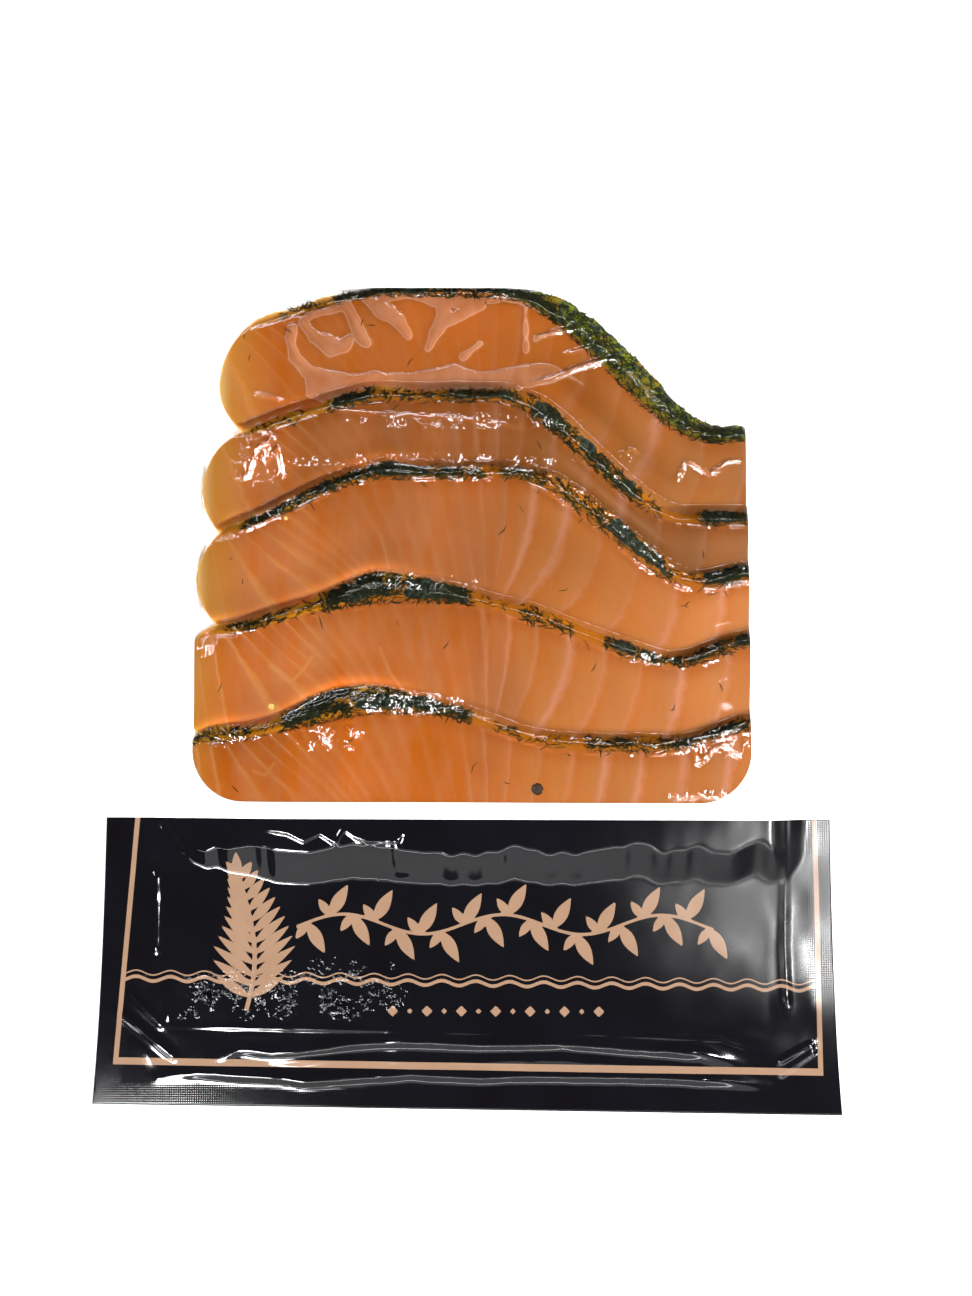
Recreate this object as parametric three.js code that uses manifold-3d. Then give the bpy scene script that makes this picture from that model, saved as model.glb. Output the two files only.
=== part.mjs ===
// A sealed pack of sliced, dill-cured smoked salmon, lying flat.
// Five slices overlap on a white card inside a pouch of film. They show through a clear window
// in the printed front. Where the print hides them, the pouch is solid.
// Millimetres, +Z up. The origin is on the underside, at the middle of the pack.
// +Y is the far end, where the first slice lies, and the printed label is at the near end.
import * as THREE from 'three';
import { mergeVertices } from 'three/addons/utils/BufferGeometryUtils.js';
import Module from 'manifold-3d';

// Driving dimensions
const GAP = 0.3; // left between neighbouring pieces
const POUCH = { width: 200, height: 250, waist: 2.4, slant: 2.4, rim: 0.6, floor: 0.5 };
const CARD = { x: 0.8, y: 2.6, width: 163, height: 211, radius: 4, thickness: 0.8 };
const WINDOW = { x: 0.6, y: 28.3, width: 150, height: 141.2, radius: 14 };
const SLOPE = 10; // the film comes down to the seal over this width round the card
const HEAP = { right: 81, near: -54, drape: 0.62, reach: 10 }; // where the slices end
const BEVEL = 3.2; // width of the dill-covered edge of a slice where it is plain
const NOSE = { length: 10, radius: 12 }; // the rounded left end of a slice
const FALL = { from: -22, length: 48 };
const LIFT = { from: 52, length: 26 };
const DILL = { pitch: 7, radius: 1.2, flat: 0.6 }; // clumps of dill along each bevel
const PEPPERCORN = { x: 18.5, y: -38.6, radius: 1.6 };
const MUSTARD_SEED = { x: -52.9, y: -16.8, radius: 1 };

// One entry for each slice, from the far end to the near one. The dill edge runs level at crest,
// falls away to the left, drops to the right between from and to, and lifts at the right end.
// It is wider by more at the place named wide, and tapers off over spread to either side.
// foot is how high the slice's edge lies above the card, ridge the height of its shoulder,
// and tail how far its underside runs on before it meets the card.
const SLICES = [
  { crest: 96.8, fall: 10.5, drop: 42.9, from: 6.6, to: 70.7, lift: 3, wide: 40, more: 8,
    spread: 22, foot: 0, ridge: 2.4, tail: 50, tipX: -69, tipY: 71 },
  { crest: 66.8, fall: 10.8, drop: 33.7, from: 5.5, to: 59.2, lift: 0, wide: 30, more: 3,
    spread: 22, foot: 2.2, ridge: 4.6, tail: 46, tipX: -73, tipY: 41.3 },
  { crest: 45.5, fall: 15.5, drop: 31.7, from: 10, to: 66.2, lift: 4.2, wide: 42, more: 3,
    spread: 20, foot: 3.6, ridge: 5.8, tail: 50, tipX: -74.2, tipY: 17 },
  { crest: 11.9, fall: 9.1, drop: 18.9, from: -11, to: 66.2, lift: 7.1, wide: -20, more: 4,
    spread: 16, foot: 3.9, ridge: 6.1, tail: 50, tipX: -79, tipY: -12 },
  { crest: -18, fall: 8.3, drop: 10.4, from: -16, to: 30.4, lift: 6.1, wide: -34, more: 4.5,
    spread: 14, foot: 4, ridge: 6.1, tail: 50, tipX: -81, tipY: -40 },
];
const RUN = 58; // how far a slice goes on from its dill edge, most of it under the next slices

const cardBottom = POUCH.floor + GAP;
const cardTop = cardBottom + CARD.thickness;
const base = cardTop + GAP; // the slices start here
const above = 30; // clears the top of the pack in every cut

const clamp = (t) => Math.min(1, Math.max(0, t));
const smooth = (t) => clamp(t) ** 2 * (3 - 2 * clamp(t));

// The line where the dill edge of a slice meets its flat face, as y for each x.
function shoulder(slice, x) {
  const { crest, fall, drop, from, to, lift, tipX, tipY } = slice;
  const plain = crest - fall * smooth((FALL.from - x) / FALL.length)
    - drop * smooth((x - from) / (to - from)) + lift * smooth((x - LIFT.from) / LIFT.length);
  const round = clamp((tipX + NOSE.length - x) / NOSE.length);
  return plain - (plain - tipY) * (1 - Math.sqrt(1 - round * round));
}

// The uneven width of the dill edge, narrowing into the left end.
function bevel(slice, x) {
  const { tipX, wide, more, spread } = slice;
  const uneven = 0.6 * Math.sin(x / 9 + wide) + 0.4 * Math.sin(x / 3.7 + tipX);
  const swell = more * Math.exp(-(((x - wide) / spread) ** 2));
  return (BEVEL + uneven + swell) * smooth((x - tipX) / 16) + 0.2;
}

const farEdge = (slice, x) => shoulder(slice, x) + bevel(slice, x);

// The near edge of a slice, which shows only where its left end is rounded.
function nearEdge(slice, x) {
  const round = slice.tipY - Math.sqrt(2 * NOSE.radius * Math.max(0, x - slice.tipX));
  return Math.max(round, shoulder(slice, x) - RUN, HEAP.near);
}

// Slices are thinner towards their left end.
const thinning = (x) => 0.4 + 0.6 * smooth((x + 76) / 28);

// Height above the card of the underside of a slice, which leans on the slices before it.
function underside(slice, x, y) {
  return slice.foot * thinning(x) * clamp(1 - (farEdge(slice, x) - y) / slice.tail);
}

// Height above the card of the upper face of slice i.
function face(i, x, y) {
  const slice = SLICES[i];
  const next = SLICES[i + 1];
  const { foot, ridge } = slice;
  const edge = shoulder(slice, x);
  if (y > edge) {
    const up = clamp((edge + bevel(slice, x) - y) / bevel(slice, x));
    return (foot + (ridge - foot) * Math.sin(up * Math.PI / 2)) * thinning(x);
  }
  const covered = next && x > next.tipX ? farEdge(next, x) : HEAP.near;
  const end = Math.max(covered, nearEdge(slice, x));
  const last = next ? next.foot : ridge - 0.7;
  const along = clamp((edge - y) / Math.max(1, edge - end));
  const dome = 0.35 * Math.sin(Math.PI * clamp(along * 1.6));
  return (ridge + (last - ridge) * along + dome) * thinning(x);
}

// The slice that shows at a point, or -1 beside the heap.
function sliceAt(x, y) {
  const covers = ({ tipX }, i) =>
    x > tipX && x < HEAP.right && y <= farEdge(SLICES[i], x) && y >= nearEdge(SLICES[i], x);
  return SLICES.findLastIndex(covers);
}

// Height of the film above the card where it hangs down from the heap of slices.
function drape(x, y) {
  let height = 0;
  for (let r = 0; r <= HEAP.reach; r += 2)
    for (let k = 0; k < (r ? 12 : 1); k++) {
      const px = x + r * Math.cos(k * Math.PI / 6);
      const py = y + r * Math.sin(k * Math.PI / 6);
      const i = sliceAt(px, py);
      if (i >= 0) height = Math.max(height, face(i, px, py) - HEAP.drape * r);
    }
  return height;
}

// Distance outside a rectangle with rounded corners.
function outside({ x, y, width, height, radius }, px, py) {
  const dx = Math.abs(px - x) - width / 2 + radius;
  const dy = Math.abs(py - y) - height / 2 + radius;
  return Math.hypot(Math.max(0, dx), Math.max(0, dy)) + Math.min(0, Math.max(dx, dy)) - radius;
}

// The upper face of the film: flat at the seal, up on to the card, and over the slices.
function filmTop(x, y) {
  const onCard = 1 - smooth(outside(CARD, x, y) / SLOPE);
  const plateau = POUCH.rim + (base - POUCH.rim) * onCard;
  return Math.max(plateau, base + GAP + drape(x, y));
}

// The outline narrows at the waist, where the film is drawn in, and its near edge is cut askew.
function pouchPoint(u, v) {
  const y = POUCH.height * (v - 0.5);
  const middle = 1 - (2 * v - 1) ** 4;
  const x = (u - 0.5) * (POUCH.width - 2 * POUCH.waist * middle);
  return [x, y + POUCH.slant * (1 - u) * (1 - v) ** 6];
}

// A closed body between two heights, over a grid of rows and columns that place() lays out.
function slab(rows, columns, place, bottom, top) {
  const positions = [];
  for (const height of [top, bottom])
    for (let r = 0; r < rows; r++)
      for (let c = 0; c < columns; c++) {
        const [x, y] = place(r, c);
        positions.push(x, y, height(x, y));
      }
  const half = rows * columns;
  const index = [];
  const quad = (a, b, c, d) => index.push(a, b, c, a, c, d);
  for (let r = 0; r + 1 < rows; r++)
    for (let c = 0; c + 1 < columns; c++) {
      const a = r * columns + c;
      quad(a, a + columns, a + columns + 1, a + 1);
      quad(half + a, half + a + 1, half + a + columns + 1, half + a + columns);
    }
  const wall = (a, b) => quad(a, b, b + half, a + half);
  for (let r = 0; r + 1 < rows; r++) {
    wall((r + 1) * columns, r * columns);
    wall((r + 1) * columns - 1, (r + 2) * columns - 1);
  }
  for (let c = 0; c + 1 < columns; c++) {
    wall(c, c + 1);
    wall((rows - 1) * columns + c + 1, (rows - 1) * columns + c);
  }
  const geometry = new THREE.BufferGeometry();
  geometry.setAttribute('position', new THREE.Float32BufferAttribute(positions, 3));
  geometry.setIndex(index);
  return geometry;
}

// A plate with a rounded rectangular outline, grown or shrunk by margin.
function plate({ x, y, width, height, radius }, margin, from, to) {
  const w = width / 2 + margin;
  const h = height / 2 + margin;
  const r = radius + margin;
  const outline = new THREE.Shape();
  outline.absarc(w - r, r - h, r, -Math.PI / 2, 0);
  outline.absarc(w - r, h - r, r, 0, Math.PI / 2);
  outline.absarc(r - w, h - r, r, Math.PI / 2, Math.PI);
  outline.absarc(r - w, r - h, r, Math.PI, Math.PI * 1.5);
  const geometry = new THREE.ExtrudeGeometry(outline,
    { depth: to - from, bevelEnabled: false, curveSegments: 8 });
  return geometry.translate(x, y, from);
}

const wasm = await Module();
wasm.setup();

function solid(geometry) {
  const bare = geometry.clone();
  bare.deleteAttribute('normal');
  bare.deleteAttribute('uv');
  const merged = mergeVertices(bare, 1e-3);
  return new wasm.Manifold(new wasm.Mesh({
    numProp: 3,
    vertProperties: new Float32Array(merged.attributes.position.array),
    triVerts: new Uint32Array(merged.index.array),
  }));
}

function geometryOf(body) {
  const { vertProperties, triVerts } = body.getMesh();
  const geometry = new THREE.BufferGeometry();
  geometry.setAttribute('position', new THREE.BufferAttribute(vertProperties, 3));
  geometry.setIndex(new THREE.BufferAttribute(triVerts, 1));
  geometry.computeVertexNormals();
  return geometry;
}

const finish = (color, roughness) => new THREE.MeshStandardMaterial({ color, roughness });
const printedFilm = finish(0xf2f1ee, 0.25);
const whiteCard = finish(0xf5f3ee, 0.6);
const salmonFlesh = finish(0xc8753a, 0.3);

function pouch() {
  const rows = 34;
  const columns = 43;
  const place = (r, c) => pouchPoint(r / (rows - 1), c / (columns - 1));
  const body = solid(slab(rows, columns, place, () => 0, filmTop));
  const opening = solid(plate(WINDOW, 0, POUCH.floor, above));
  return new THREE.Mesh(geometryOf(body.subtract(opening)), printedFilm);
}

function card() {
  return new THREE.Mesh(plate(WINDOW, -GAP, cardBottom, cardTop), whiteCard);
}

// Slice i from its dill edge to its near edge, with its outline grown by margin.
function sliceSlab(i, margin, bottom, top) {
  const slice = SLICES[i];
  const rows = 25;
  const columns = 8;
  const place = (r, c) => {
    const x = slice.tipX + (HEAP.right - slice.tipX) * (r / (rows - 1)) ** 1.3;
    const edge = shoulder(slice, x);
    const across = edge - nearEdge(slice, x) + 0.4;
    const y = c === columns - 1 ? farEdge(slice, x) : edge - across * (1 - c / (columns - 2));
    const growX = r === 0 ? -margin : 0;
    const growY = { 0: -margin, [columns - 1]: margin }[c] ?? 0;
    return [x + growX, y + growY];
  };
  return solid(slab(rows, columns, place, bottom, top));
}

// A grain pressed half into the upper face of slice i.
function grain(i, { x, y, radius }, detail) {
  const ball = new THREE.IcosahedronGeometry(radius, detail);
  return solid(ball.scale(1, 1, DILL.flat).translate(x, y, base + face(i, x, y)));
}

// Clumps of dill set along the bevel of slice i, closer together where the dill is thick.
function dillClumps(i) {
  const slice = SLICES[i];
  const { pitch, radius } = DILL;
  const clumps = [];
  for (let x = slice.tipX + 14; x < WINDOW.x + WINDOW.width / 2 - 2; x += pitch) {
    const wave = Math.sin(x * 1.7 + i);
    const y = shoulder(slice, x) + bevel(slice, x) * (0.5 + 0.12 * wave);
    clumps.push(grain(i, { x, y, radius: radius * (1 + 0.2 * wave) }, 0));
  }
  return clumps;
}

// Every slice is cut clear of the two that lie over it, and stops inside the window.
function sliceBody(i) {
  const bottom = (x, y) => base + underside(SLICES[i], x, y);
  const top = (x, y) => Math.max(bottom(x, y) + 0.5, base + face(i, x, y));
  let body = sliceSlab(i, 0, bottom, top);
  for (const clump of dillClumps(i)) body = body.add(clump);
  for (let j = i + 1; j <= Math.min(i + 2, SLICES.length - 1); j++) {
    const under = (x, y) => base + underside(SLICES[j], x, y) - GAP;
    body = body.subtract(sliceSlab(j, GAP, under, () => above));
  }
  return body.intersect(solid(plate(WINDOW, -GAP, base, above)));
}

// The largest of the pieces that a cut leaves.
function largest(body) {
  const pieces = body.decompose();
  return pieces.reduce((a, b) => (b.volume() > a.volume() ? b : a));
}

const pack = new THREE.Group();

function add(name, mesh) {
  mesh.name = name;
  pack.add(mesh);
}

add('pouch', pouch());
add('card', card());
const grains = { 3: MUSTARD_SEED, 4: PEPPERCORN };
SLICES.forEach((_, i) => {
  const body = largest(sliceBody(i));
  const whole = grains[i] ? body.add(grain(i, grains[i], 1)) : body;
  add(`slice_${i + 1}`, new THREE.Mesh(geometryOf(whole), salmonFlesh));
});

export default pack;
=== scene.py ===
# A sealed pack of dill-edged smoked salmon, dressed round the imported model.
# Shapes are worked out in millimetres, from the same rules as the solids, and made in metres.
import math

import bpy
import numpy as np
from mathutils import Matrix, Vector

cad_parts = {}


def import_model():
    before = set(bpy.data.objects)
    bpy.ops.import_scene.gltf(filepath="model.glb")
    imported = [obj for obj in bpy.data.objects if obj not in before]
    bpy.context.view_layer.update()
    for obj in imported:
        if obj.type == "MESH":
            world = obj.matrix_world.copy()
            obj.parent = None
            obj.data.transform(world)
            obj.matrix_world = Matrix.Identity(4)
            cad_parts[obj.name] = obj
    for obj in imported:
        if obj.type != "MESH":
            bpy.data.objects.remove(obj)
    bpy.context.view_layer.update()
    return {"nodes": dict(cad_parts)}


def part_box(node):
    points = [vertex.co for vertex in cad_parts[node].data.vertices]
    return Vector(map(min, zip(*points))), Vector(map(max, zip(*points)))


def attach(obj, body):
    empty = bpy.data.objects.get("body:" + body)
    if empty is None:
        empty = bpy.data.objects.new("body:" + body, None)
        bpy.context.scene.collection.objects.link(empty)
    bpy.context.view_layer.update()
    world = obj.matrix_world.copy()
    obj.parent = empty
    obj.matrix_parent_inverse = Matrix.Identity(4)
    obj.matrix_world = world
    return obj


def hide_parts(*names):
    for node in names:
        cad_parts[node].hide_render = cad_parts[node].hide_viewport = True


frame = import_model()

MM = 0.001

# The solids' driving dimensions, in millimetres
GAP = 0.3
POUCH = dict(width=200.0, height=250.0, waist=2.4, slant=2.4, rim=0.6)
CARD = dict(x=0.8, y=2.6, width=163.0, height=211.0, radius=4.0)
WINDOW = dict(x=0.6, y=28.3, width=150.0, height=141.2, radius=14.0)
BAND_TOP = -46.7
SLOPE = 10.0
HEAP = dict(right=81.0, near=-54.0, drape=0.62, reach=10.0)
BEVEL = 3.2
NOSE = dict(length=10.0, radius=12.0)
FALL = dict(start=-22.0, length=48.0)
LIFT = dict(start=52.0, length=26.0)
RUN = 58.0
BASE = (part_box("card")[1][2]) / MM + GAP
SLICES = [
    dict(crest=96.8, fall=10.5, drop=42.9, start=6.6, end=70.7, lift=3.0, wide=40.0, more=8.0,
         spread=22.0, foot=0.0, ridge=2.4, tail=50.0, tip=(-69.0, 71.0)),
    dict(crest=66.8, fall=10.8, drop=33.7, start=5.5, end=59.2, lift=0.0, wide=30.0, more=3.0,
         spread=22.0, foot=2.2, ridge=4.6, tail=46.0, tip=(-73.0, 41.3)),
    dict(crest=45.5, fall=15.5, drop=31.7, start=10.0, end=66.2, lift=4.2, wide=42.0, more=3.0,
         spread=20.0, foot=3.6, ridge=5.8, tail=50.0, tip=(-74.2, 17.0)),
    dict(crest=11.9, fall=9.1, drop=18.9, start=-11.0, end=66.2, lift=7.1, wide=-20.0, more=4.0,
         spread=16.0, foot=3.9, ridge=6.1, tail=50.0, tip=(-79.0, -12.0)),
    dict(crest=-18.0, fall=8.3, drop=10.4, start=-16.0, end=30.4, lift=6.1, wide=-34.0, more=4.5,
         spread=14.0, foot=4.0, ridge=6.1, tail=50.0, tip=(-81.0, -40.0)),
]

# Stretches of each dill edge, left to right: from, to, and how thickly the dill lies there
DILL_STRETCHES = [
    [(-52, -37, 0.3), (-36, 20, 0.9), (20, 68, 0.92), (68, 80, 0.95)],
    [(-59, -46, 0.25), (-38, -27, 0.9), (-27, -18, 0.4), (-18, -8, 0.6), (-7, 14, 0.8),
     (17, 26, 1.0), (26, 46, 0.8), (46, 51, 0.5), (63, 80, 0.9)],
    [(-61, -49, 0.9), (-49, -37, 0.9), (-37, 3, 0.95), (3, 9, 0.35), (9, 35, 0.65),
     (35, 54, 0.85), (54, 62, 0.2), (63, 80, 0.9)],
    [(-65, -54, 0.65), (-54, -39, 0.3), (-39, 0, 1.0), (0, 9, 0.15), (15, 27, 0.55),
     (37, 76, 0.8)],
    [(-78, -59, 0.65), (-59, -49, 0.15), (-49, -32, 1.0), (-32, 0, 0.85), (8, 14, 0.6),
     (16, 28, 0.15), (32, 80, 0.7)],
]

# The photograph's camera: a long lens over the pack, leaning a little towards the near end
VIEW = dict(target=(4.658, -0.411), distance=383.6, tilt=math.radians(4.0),
            roll=math.radians(0.2), lens=38.9)

# The sky's strength near the horizon and overhead, and the heights between which it fades
SKY = dict(low=0.2, high=0.45, horizon=1.5, overhead=0.14)

# Lamps: name, place, what it points at, width, power and, where it isn't square, height
LAMPS = [
    ("key", (1.0, 0.3, 0.95), (0, 0, 0), 0.7, 34.0),
    ("low_left", (-1.3, 0.2, 0.5), (0, 0, 0), 0.5, 26.0),
    ("far_strip", (0, 0.6, 0.75), (0, 0, 0), 1.3, 2.0, 0.03),
    ("near_strip", (0, -0.62, 0.7), (0, 0, 0), 1.3, 2.0, 0.03),
    ("near_fill", (0, -1.15, 0.95), (0, 0, 0), 1.5, 7.3, 1.4),
    ("overhead", (0.42, -0.175, 1.0), (0.09, -0.06, 0), 0.1, 5.0),
    ("sparkle", (-0.3, -0.52, 1.0), (-0.05, -0.1, 0), 0.2, 6.5, 0.16),
    ("glint_0", (-0.35, -0.45, 0.75), (0, 0, 0), 0.07, 0.7),
    ("glint_1", (0.45, -0.4, 0.7), (0, 0, 0), 0.07, 0.7),
    ("glint_2", (-0.6, 0.1, 0.75), (0, 0, 0), 0.07, 0.7),
    ("glint_3", (0.5, 0.35, 0.7), (0, 0, 0), 0.07, 0.7),
]


def smooth(t):
    t = np.clip(t, 0.0, 1.0)
    return t * t * (3 - 2 * t)


def between(low, high, value):
    """0 at low, 1 at high, and a smooth step from one to the other."""
    return smooth((value - low) / (high - low))


# The heap of slices

def shoulder(s, x):
    """Where a slice's face meets the bevel of its far edge."""
    plain = (s["crest"] - s["fall"] * smooth((FALL["start"] - x) / FALL["length"])
             - s["drop"] * smooth((x - s["start"]) / (s["end"] - s["start"]))
             + s["lift"] * smooth((x - LIFT["start"]) / LIFT["length"]))
    tip_x, tip_y = s["tip"]
    turn = np.clip((tip_x + NOSE["length"] - x) / NOSE["length"], 0, 1)
    return plain - (plain - tip_y) * (1 - np.sqrt(1 - turn ** 2))


def bevel(s, x):
    """Width of the far edge's bevel, which the dill covers."""
    tip_x = s["tip"][0]
    uneven = 0.6 * np.sin(x / 9 + s["wide"]) + 0.4 * np.sin(x / 3.7 + tip_x)
    swell = s["more"] * np.exp(-((x - s["wide"]) / s["spread"]) ** 2)
    return (BEVEL + uneven + swell) * smooth((x - tip_x) / 16) + 0.2


def far_edge(s, x):
    return shoulder(s, x) + bevel(s, x)


def near_edge(s, x):
    tip_x, tip_y = s["tip"]
    turn = tip_y - np.sqrt(2 * NOSE["radius"] * np.maximum(0, x - tip_x))
    return np.maximum(np.maximum(turn, shoulder(s, x) - RUN), HEAP["near"])


def thinning(x):
    """How the slices thin out towards their noses."""
    return 0.4 + 0.6 * smooth((x + 76) / 28)


def underside(s, x, y):
    return s["foot"] * thinning(x) * np.clip(1 - (far_edge(s, x) - y) / s["tail"], 0, 1)


def face(i, x, y):
    """Height of a slice's upper side above the card."""
    s = SLICES[i]
    foot, ridge = s["foot"], s["ridge"]
    edge = shoulder(s, x)
    wide = bevel(s, x)
    up = np.clip((edge + wide - y) / wide, 0, 1)
    on_bevel = foot + (ridge - foot) * np.sin(up * np.pi / 2)
    end = near_edge(s, x)
    last = ridge - 0.7
    if i + 1 < len(SLICES):
        after = SLICES[i + 1]
        covered = np.where(x > after["tip"][0], far_edge(after, x), HEAP["near"])
        end = np.maximum(covered, end)
        last = after["foot"]
    along = np.clip((edge - y) / np.maximum(1, edge - end), 0, 1)
    dome = 0.35 * np.sin(np.pi * np.clip(along * 1.6, 0, 1))
    on_face = ridge + (last - ridge) * along + dome
    return np.where(y > edge, on_bevel, on_face) * thinning(x)


def heap_height(x, y):
    """Height of the slices above the card, or 0 beside them."""
    height = np.zeros_like(x)
    for i, s in enumerate(SLICES):
        there = ((x > s["tip"][0]) & (x < HEAP["right"])
                 & (y <= far_edge(s, x)) & (y >= near_edge(s, x)))
        height = np.where(there, face(i, x, y), height)
    return height


def outside(plate, x, y):
    """Distance outside a plate with rounded corners, below 0 inside it."""
    dx = np.abs(x - plate["x"]) - plate["width"] / 2 + plate["radius"]
    dy = np.abs(y - plate["y"]) - plate["height"] / 2 + plate["radius"]
    beyond = np.hypot(np.maximum(0, dx), np.maximum(0, dy))
    return beyond + np.minimum(0, np.maximum(dx, dy)) - plate["radius"]


# The film's height over the whole pack, on a grid that is sampled between its points

STEP = 0.5
GRID_X = np.arange(-104, 104 + STEP, STEP)
GRID_Y = np.arange(-130, 130 + STEP, STEP)


def blur(field, sigma):
    reach = int(3 * sigma) + 1
    kernel = np.exp(-0.5 * (np.arange(-reach, reach + 1) / sigma) ** 2)
    kernel /= kernel.sum()
    for axis in (0, 1):
        width = [(0, 0), (0, 0)]
        width[axis] = (reach, reach)
        padded = np.pad(field, width, mode="edge")
        field = sum(k * np.take(padded, np.arange(n, n + field.shape[axis]), axis=axis)
                    for n, k in enumerate(kernel))
    return field


def film_grid():
    """The film hangs from the heap at a steep slope, and from the card's rim at a gentle one."""
    gx, gy = np.meshgrid(GRID_X, GRID_Y)
    heap = heap_height(gx, gy)
    hung = heap.copy()
    reach = int(HEAP["reach"] / STEP)
    for rx in range(-reach, reach + 1):
        for ry in range(-reach, reach + 1):
            r = math.hypot(rx, ry) * STEP
            if 0 < r <= HEAP["reach"] and (r < 2 or (rx + ry) % 2 == 0):
                moved = np.roll(heap, (ry, rx), axis=(0, 1)) - HEAP["drape"] * max(0, r - 0.9)
                hung = np.maximum(hung, moved)
    hung = blur(hung, 1.4)
    on_card = 1 - smooth(outside(CARD, gx, gy) / SLOPE)
    plateau = POUCH["rim"] + (BASE - POUCH["rim"]) * on_card
    return np.maximum(plateau, BASE + GAP * 0.7 + hung)


FILM = film_grid()


def bare_film(x, y):
    """The film's height between the grid's points, without its folds."""
    fx = np.clip((x - GRID_X[0]) / STEP, 0, len(GRID_X) - 1.001)
    fy = np.clip((y - GRID_Y[0]) / STEP, 0, len(GRID_Y) - 1.001)
    ix, iy = fx.astype(int), fy.astype(int)
    tx, ty = fx - ix, fy - iy
    top = FILM[iy + 1, ix] * (1 - tx) + FILM[iy + 1, ix + 1] * tx
    low = FILM[iy, ix] * (1 - tx) + FILM[iy, ix + 1] * tx
    return low * (1 - ty) + top * ty


# Noise and folds

def noise(x, y, scale, seed):
    """Smooth noise from 0 to 1 whose bumps are about scale millimetres apart."""
    table = np.random.RandomState(seed).rand(64, 64)
    fx, fy = x / scale + 1000.37, y / scale + 1000.71
    ix, iy = np.floor(fx).astype(int), np.floor(fy).astype(int)
    tx, ty = smooth(fx - ix), smooth(fy - iy)

    def at(dx, dy):
        return table[(iy + dy) % 64, (ix + dx) % 64]

    low = at(0, 0) * (1 - tx) + at(1, 0) * tx
    top = at(0, 1) * (1 - tx) + at(1, 1) * tx
    return low * (1 - ty) + top * ty


def creases(x, y, scale, seed):
    """Sharp-topped folds from 0 to 1, as crumpled film has."""
    first = 1 - np.abs(2 * noise(x, y, scale, seed) - 1)
    second = 1 - np.abs(2 * noise(x + first * scale * 0.4, y, scale * 0.55, seed + 1) - 1)
    return 0.65 * first ** 2 + 0.35 * second ** 2


def segment(x, y, a, b):
    """(distance from the line between two points, share of the way along it)."""
    ax, ay = a
    dx, dy = b[0] - ax, b[1] - ay
    t = np.clip(((x - ax) * dx + (y - ay) * dy) / (dx * dx + dy * dy), 0, 1)
    return np.hypot(x - ax - t * dx, y - ay - t * dy), t


def fold(x, y, points, height, width):
    """A narrow fold of the film along a line of points; it fades out at both ends."""
    lengths = [math.dist(a, b) for a, b in zip(points, points[1:])]
    whole, done = sum(lengths), 0.0
    nearest = np.full_like(x, 1e3)
    place = np.zeros_like(x)
    for a, b, length in zip(points, points[1:], lengths):
        away, t = segment(x, y, a, b)
        closer = away < nearest
        nearest = np.where(closer, away, nearest)
        place = np.where(closer, (done + t * length) / whole, place)
        done += length
    fade = between(0.0, 0.12, place) * between(1.0, 0.88, place)
    return height * np.exp(-(nearest / width) ** 2) * (0.15 + 0.85 * fade)


# Making meshes from arrays

def make_mesh(name, vertices, faces, floats=None):
    """A smooth mesh object from vertices in millimetres, faces and named values per vertex."""
    mesh = bpy.data.meshes.new(name)
    mesh.vertices.add(len(vertices))
    mesh.vertices.foreach_set("co", (np.asarray(vertices) * MM).astype(np.float32).ravel())
    faces = np.asarray(faces, dtype=np.int32)
    mesh.loops.add(faces.size)
    mesh.loops.foreach_set("vertex_index", faces.ravel())
    mesh.polygons.add(len(faces))
    starts = np.arange(0, faces.size, faces.shape[1], dtype=np.int32)
    mesh.polygons.foreach_set("loop_start", starts)
    mesh.update(calc_edges=True)
    mesh.validate()
    for label, values in (floats or {}).items():
        layer = mesh.attributes.new(label, "FLOAT", "POINT")
        layer.data.foreach_set("value", np.asarray(values, dtype=np.float32).ravel())
    mesh.shade_smooth()
    piece = bpy.data.objects.new(name, mesh)
    bpy.context.scene.collection.objects.link(piece)
    return piece


def points(x, y, z):
    """One row for each vertex of a grid."""
    return np.stack([x, y, z], -1).reshape(-1, 3)


def grid_quads(rows, columns, wrap=False, start=0, flip=False):
    r, c = np.meshgrid(np.arange(rows - (0 if wrap else 1)), np.arange(columns - 1), indexing="ij")
    r, c = r.ravel(), c.ravel()
    after = (r + 1) % rows
    quads = np.stack([r * columns + c, after * columns + c,
                      after * columns + c + 1, r * columns + c + 1], axis=1) + start
    return quads[:, ::-1] if flip else quads


def closed_quads(rows, columns, flip):
    """Quads of a closed body: a grid of vertices on top, the same grid below, and the wall."""
    size = rows * columns
    ring = np.concatenate([
        np.arange(columns), columns * np.arange(1, rows) + columns - 1,
        columns * (rows - 1) + np.arange(columns - 2, -1, -1),
        columns * np.arange(rows - 2, 0, -1),
    ])
    after = np.roll(ring, -1)
    wall = np.stack([ring, after, after + size, ring + size], axis=1)
    return np.concatenate([grid_quads(rows, columns, flip=flip),
                           grid_quads(rows, columns, start=size, flip=not flip),
                           wall[:, ::-1] if flip else wall])


def with_area(vertices, quads):
    """The quads without those that have no area, as where two corners share a place."""
    corners = np.asarray(vertices)[quads]
    normal = np.cross(corners[:, 2] - corners[:, 0], corners[:, 3] - corners[:, 1])
    return quads[np.linalg.norm(normal, axis=1) > 1e-7]


def carry(piece, *nodes, slot, material):
    """Puts a piece on the body, hides the nodes that it replaces and gives it its material; the slot is
    not used.
    """
    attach(piece, "root")
    if nodes:
        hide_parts(*nodes)
    piece.data.materials.append(material)
    return piece


# A short way to write node materials

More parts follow.
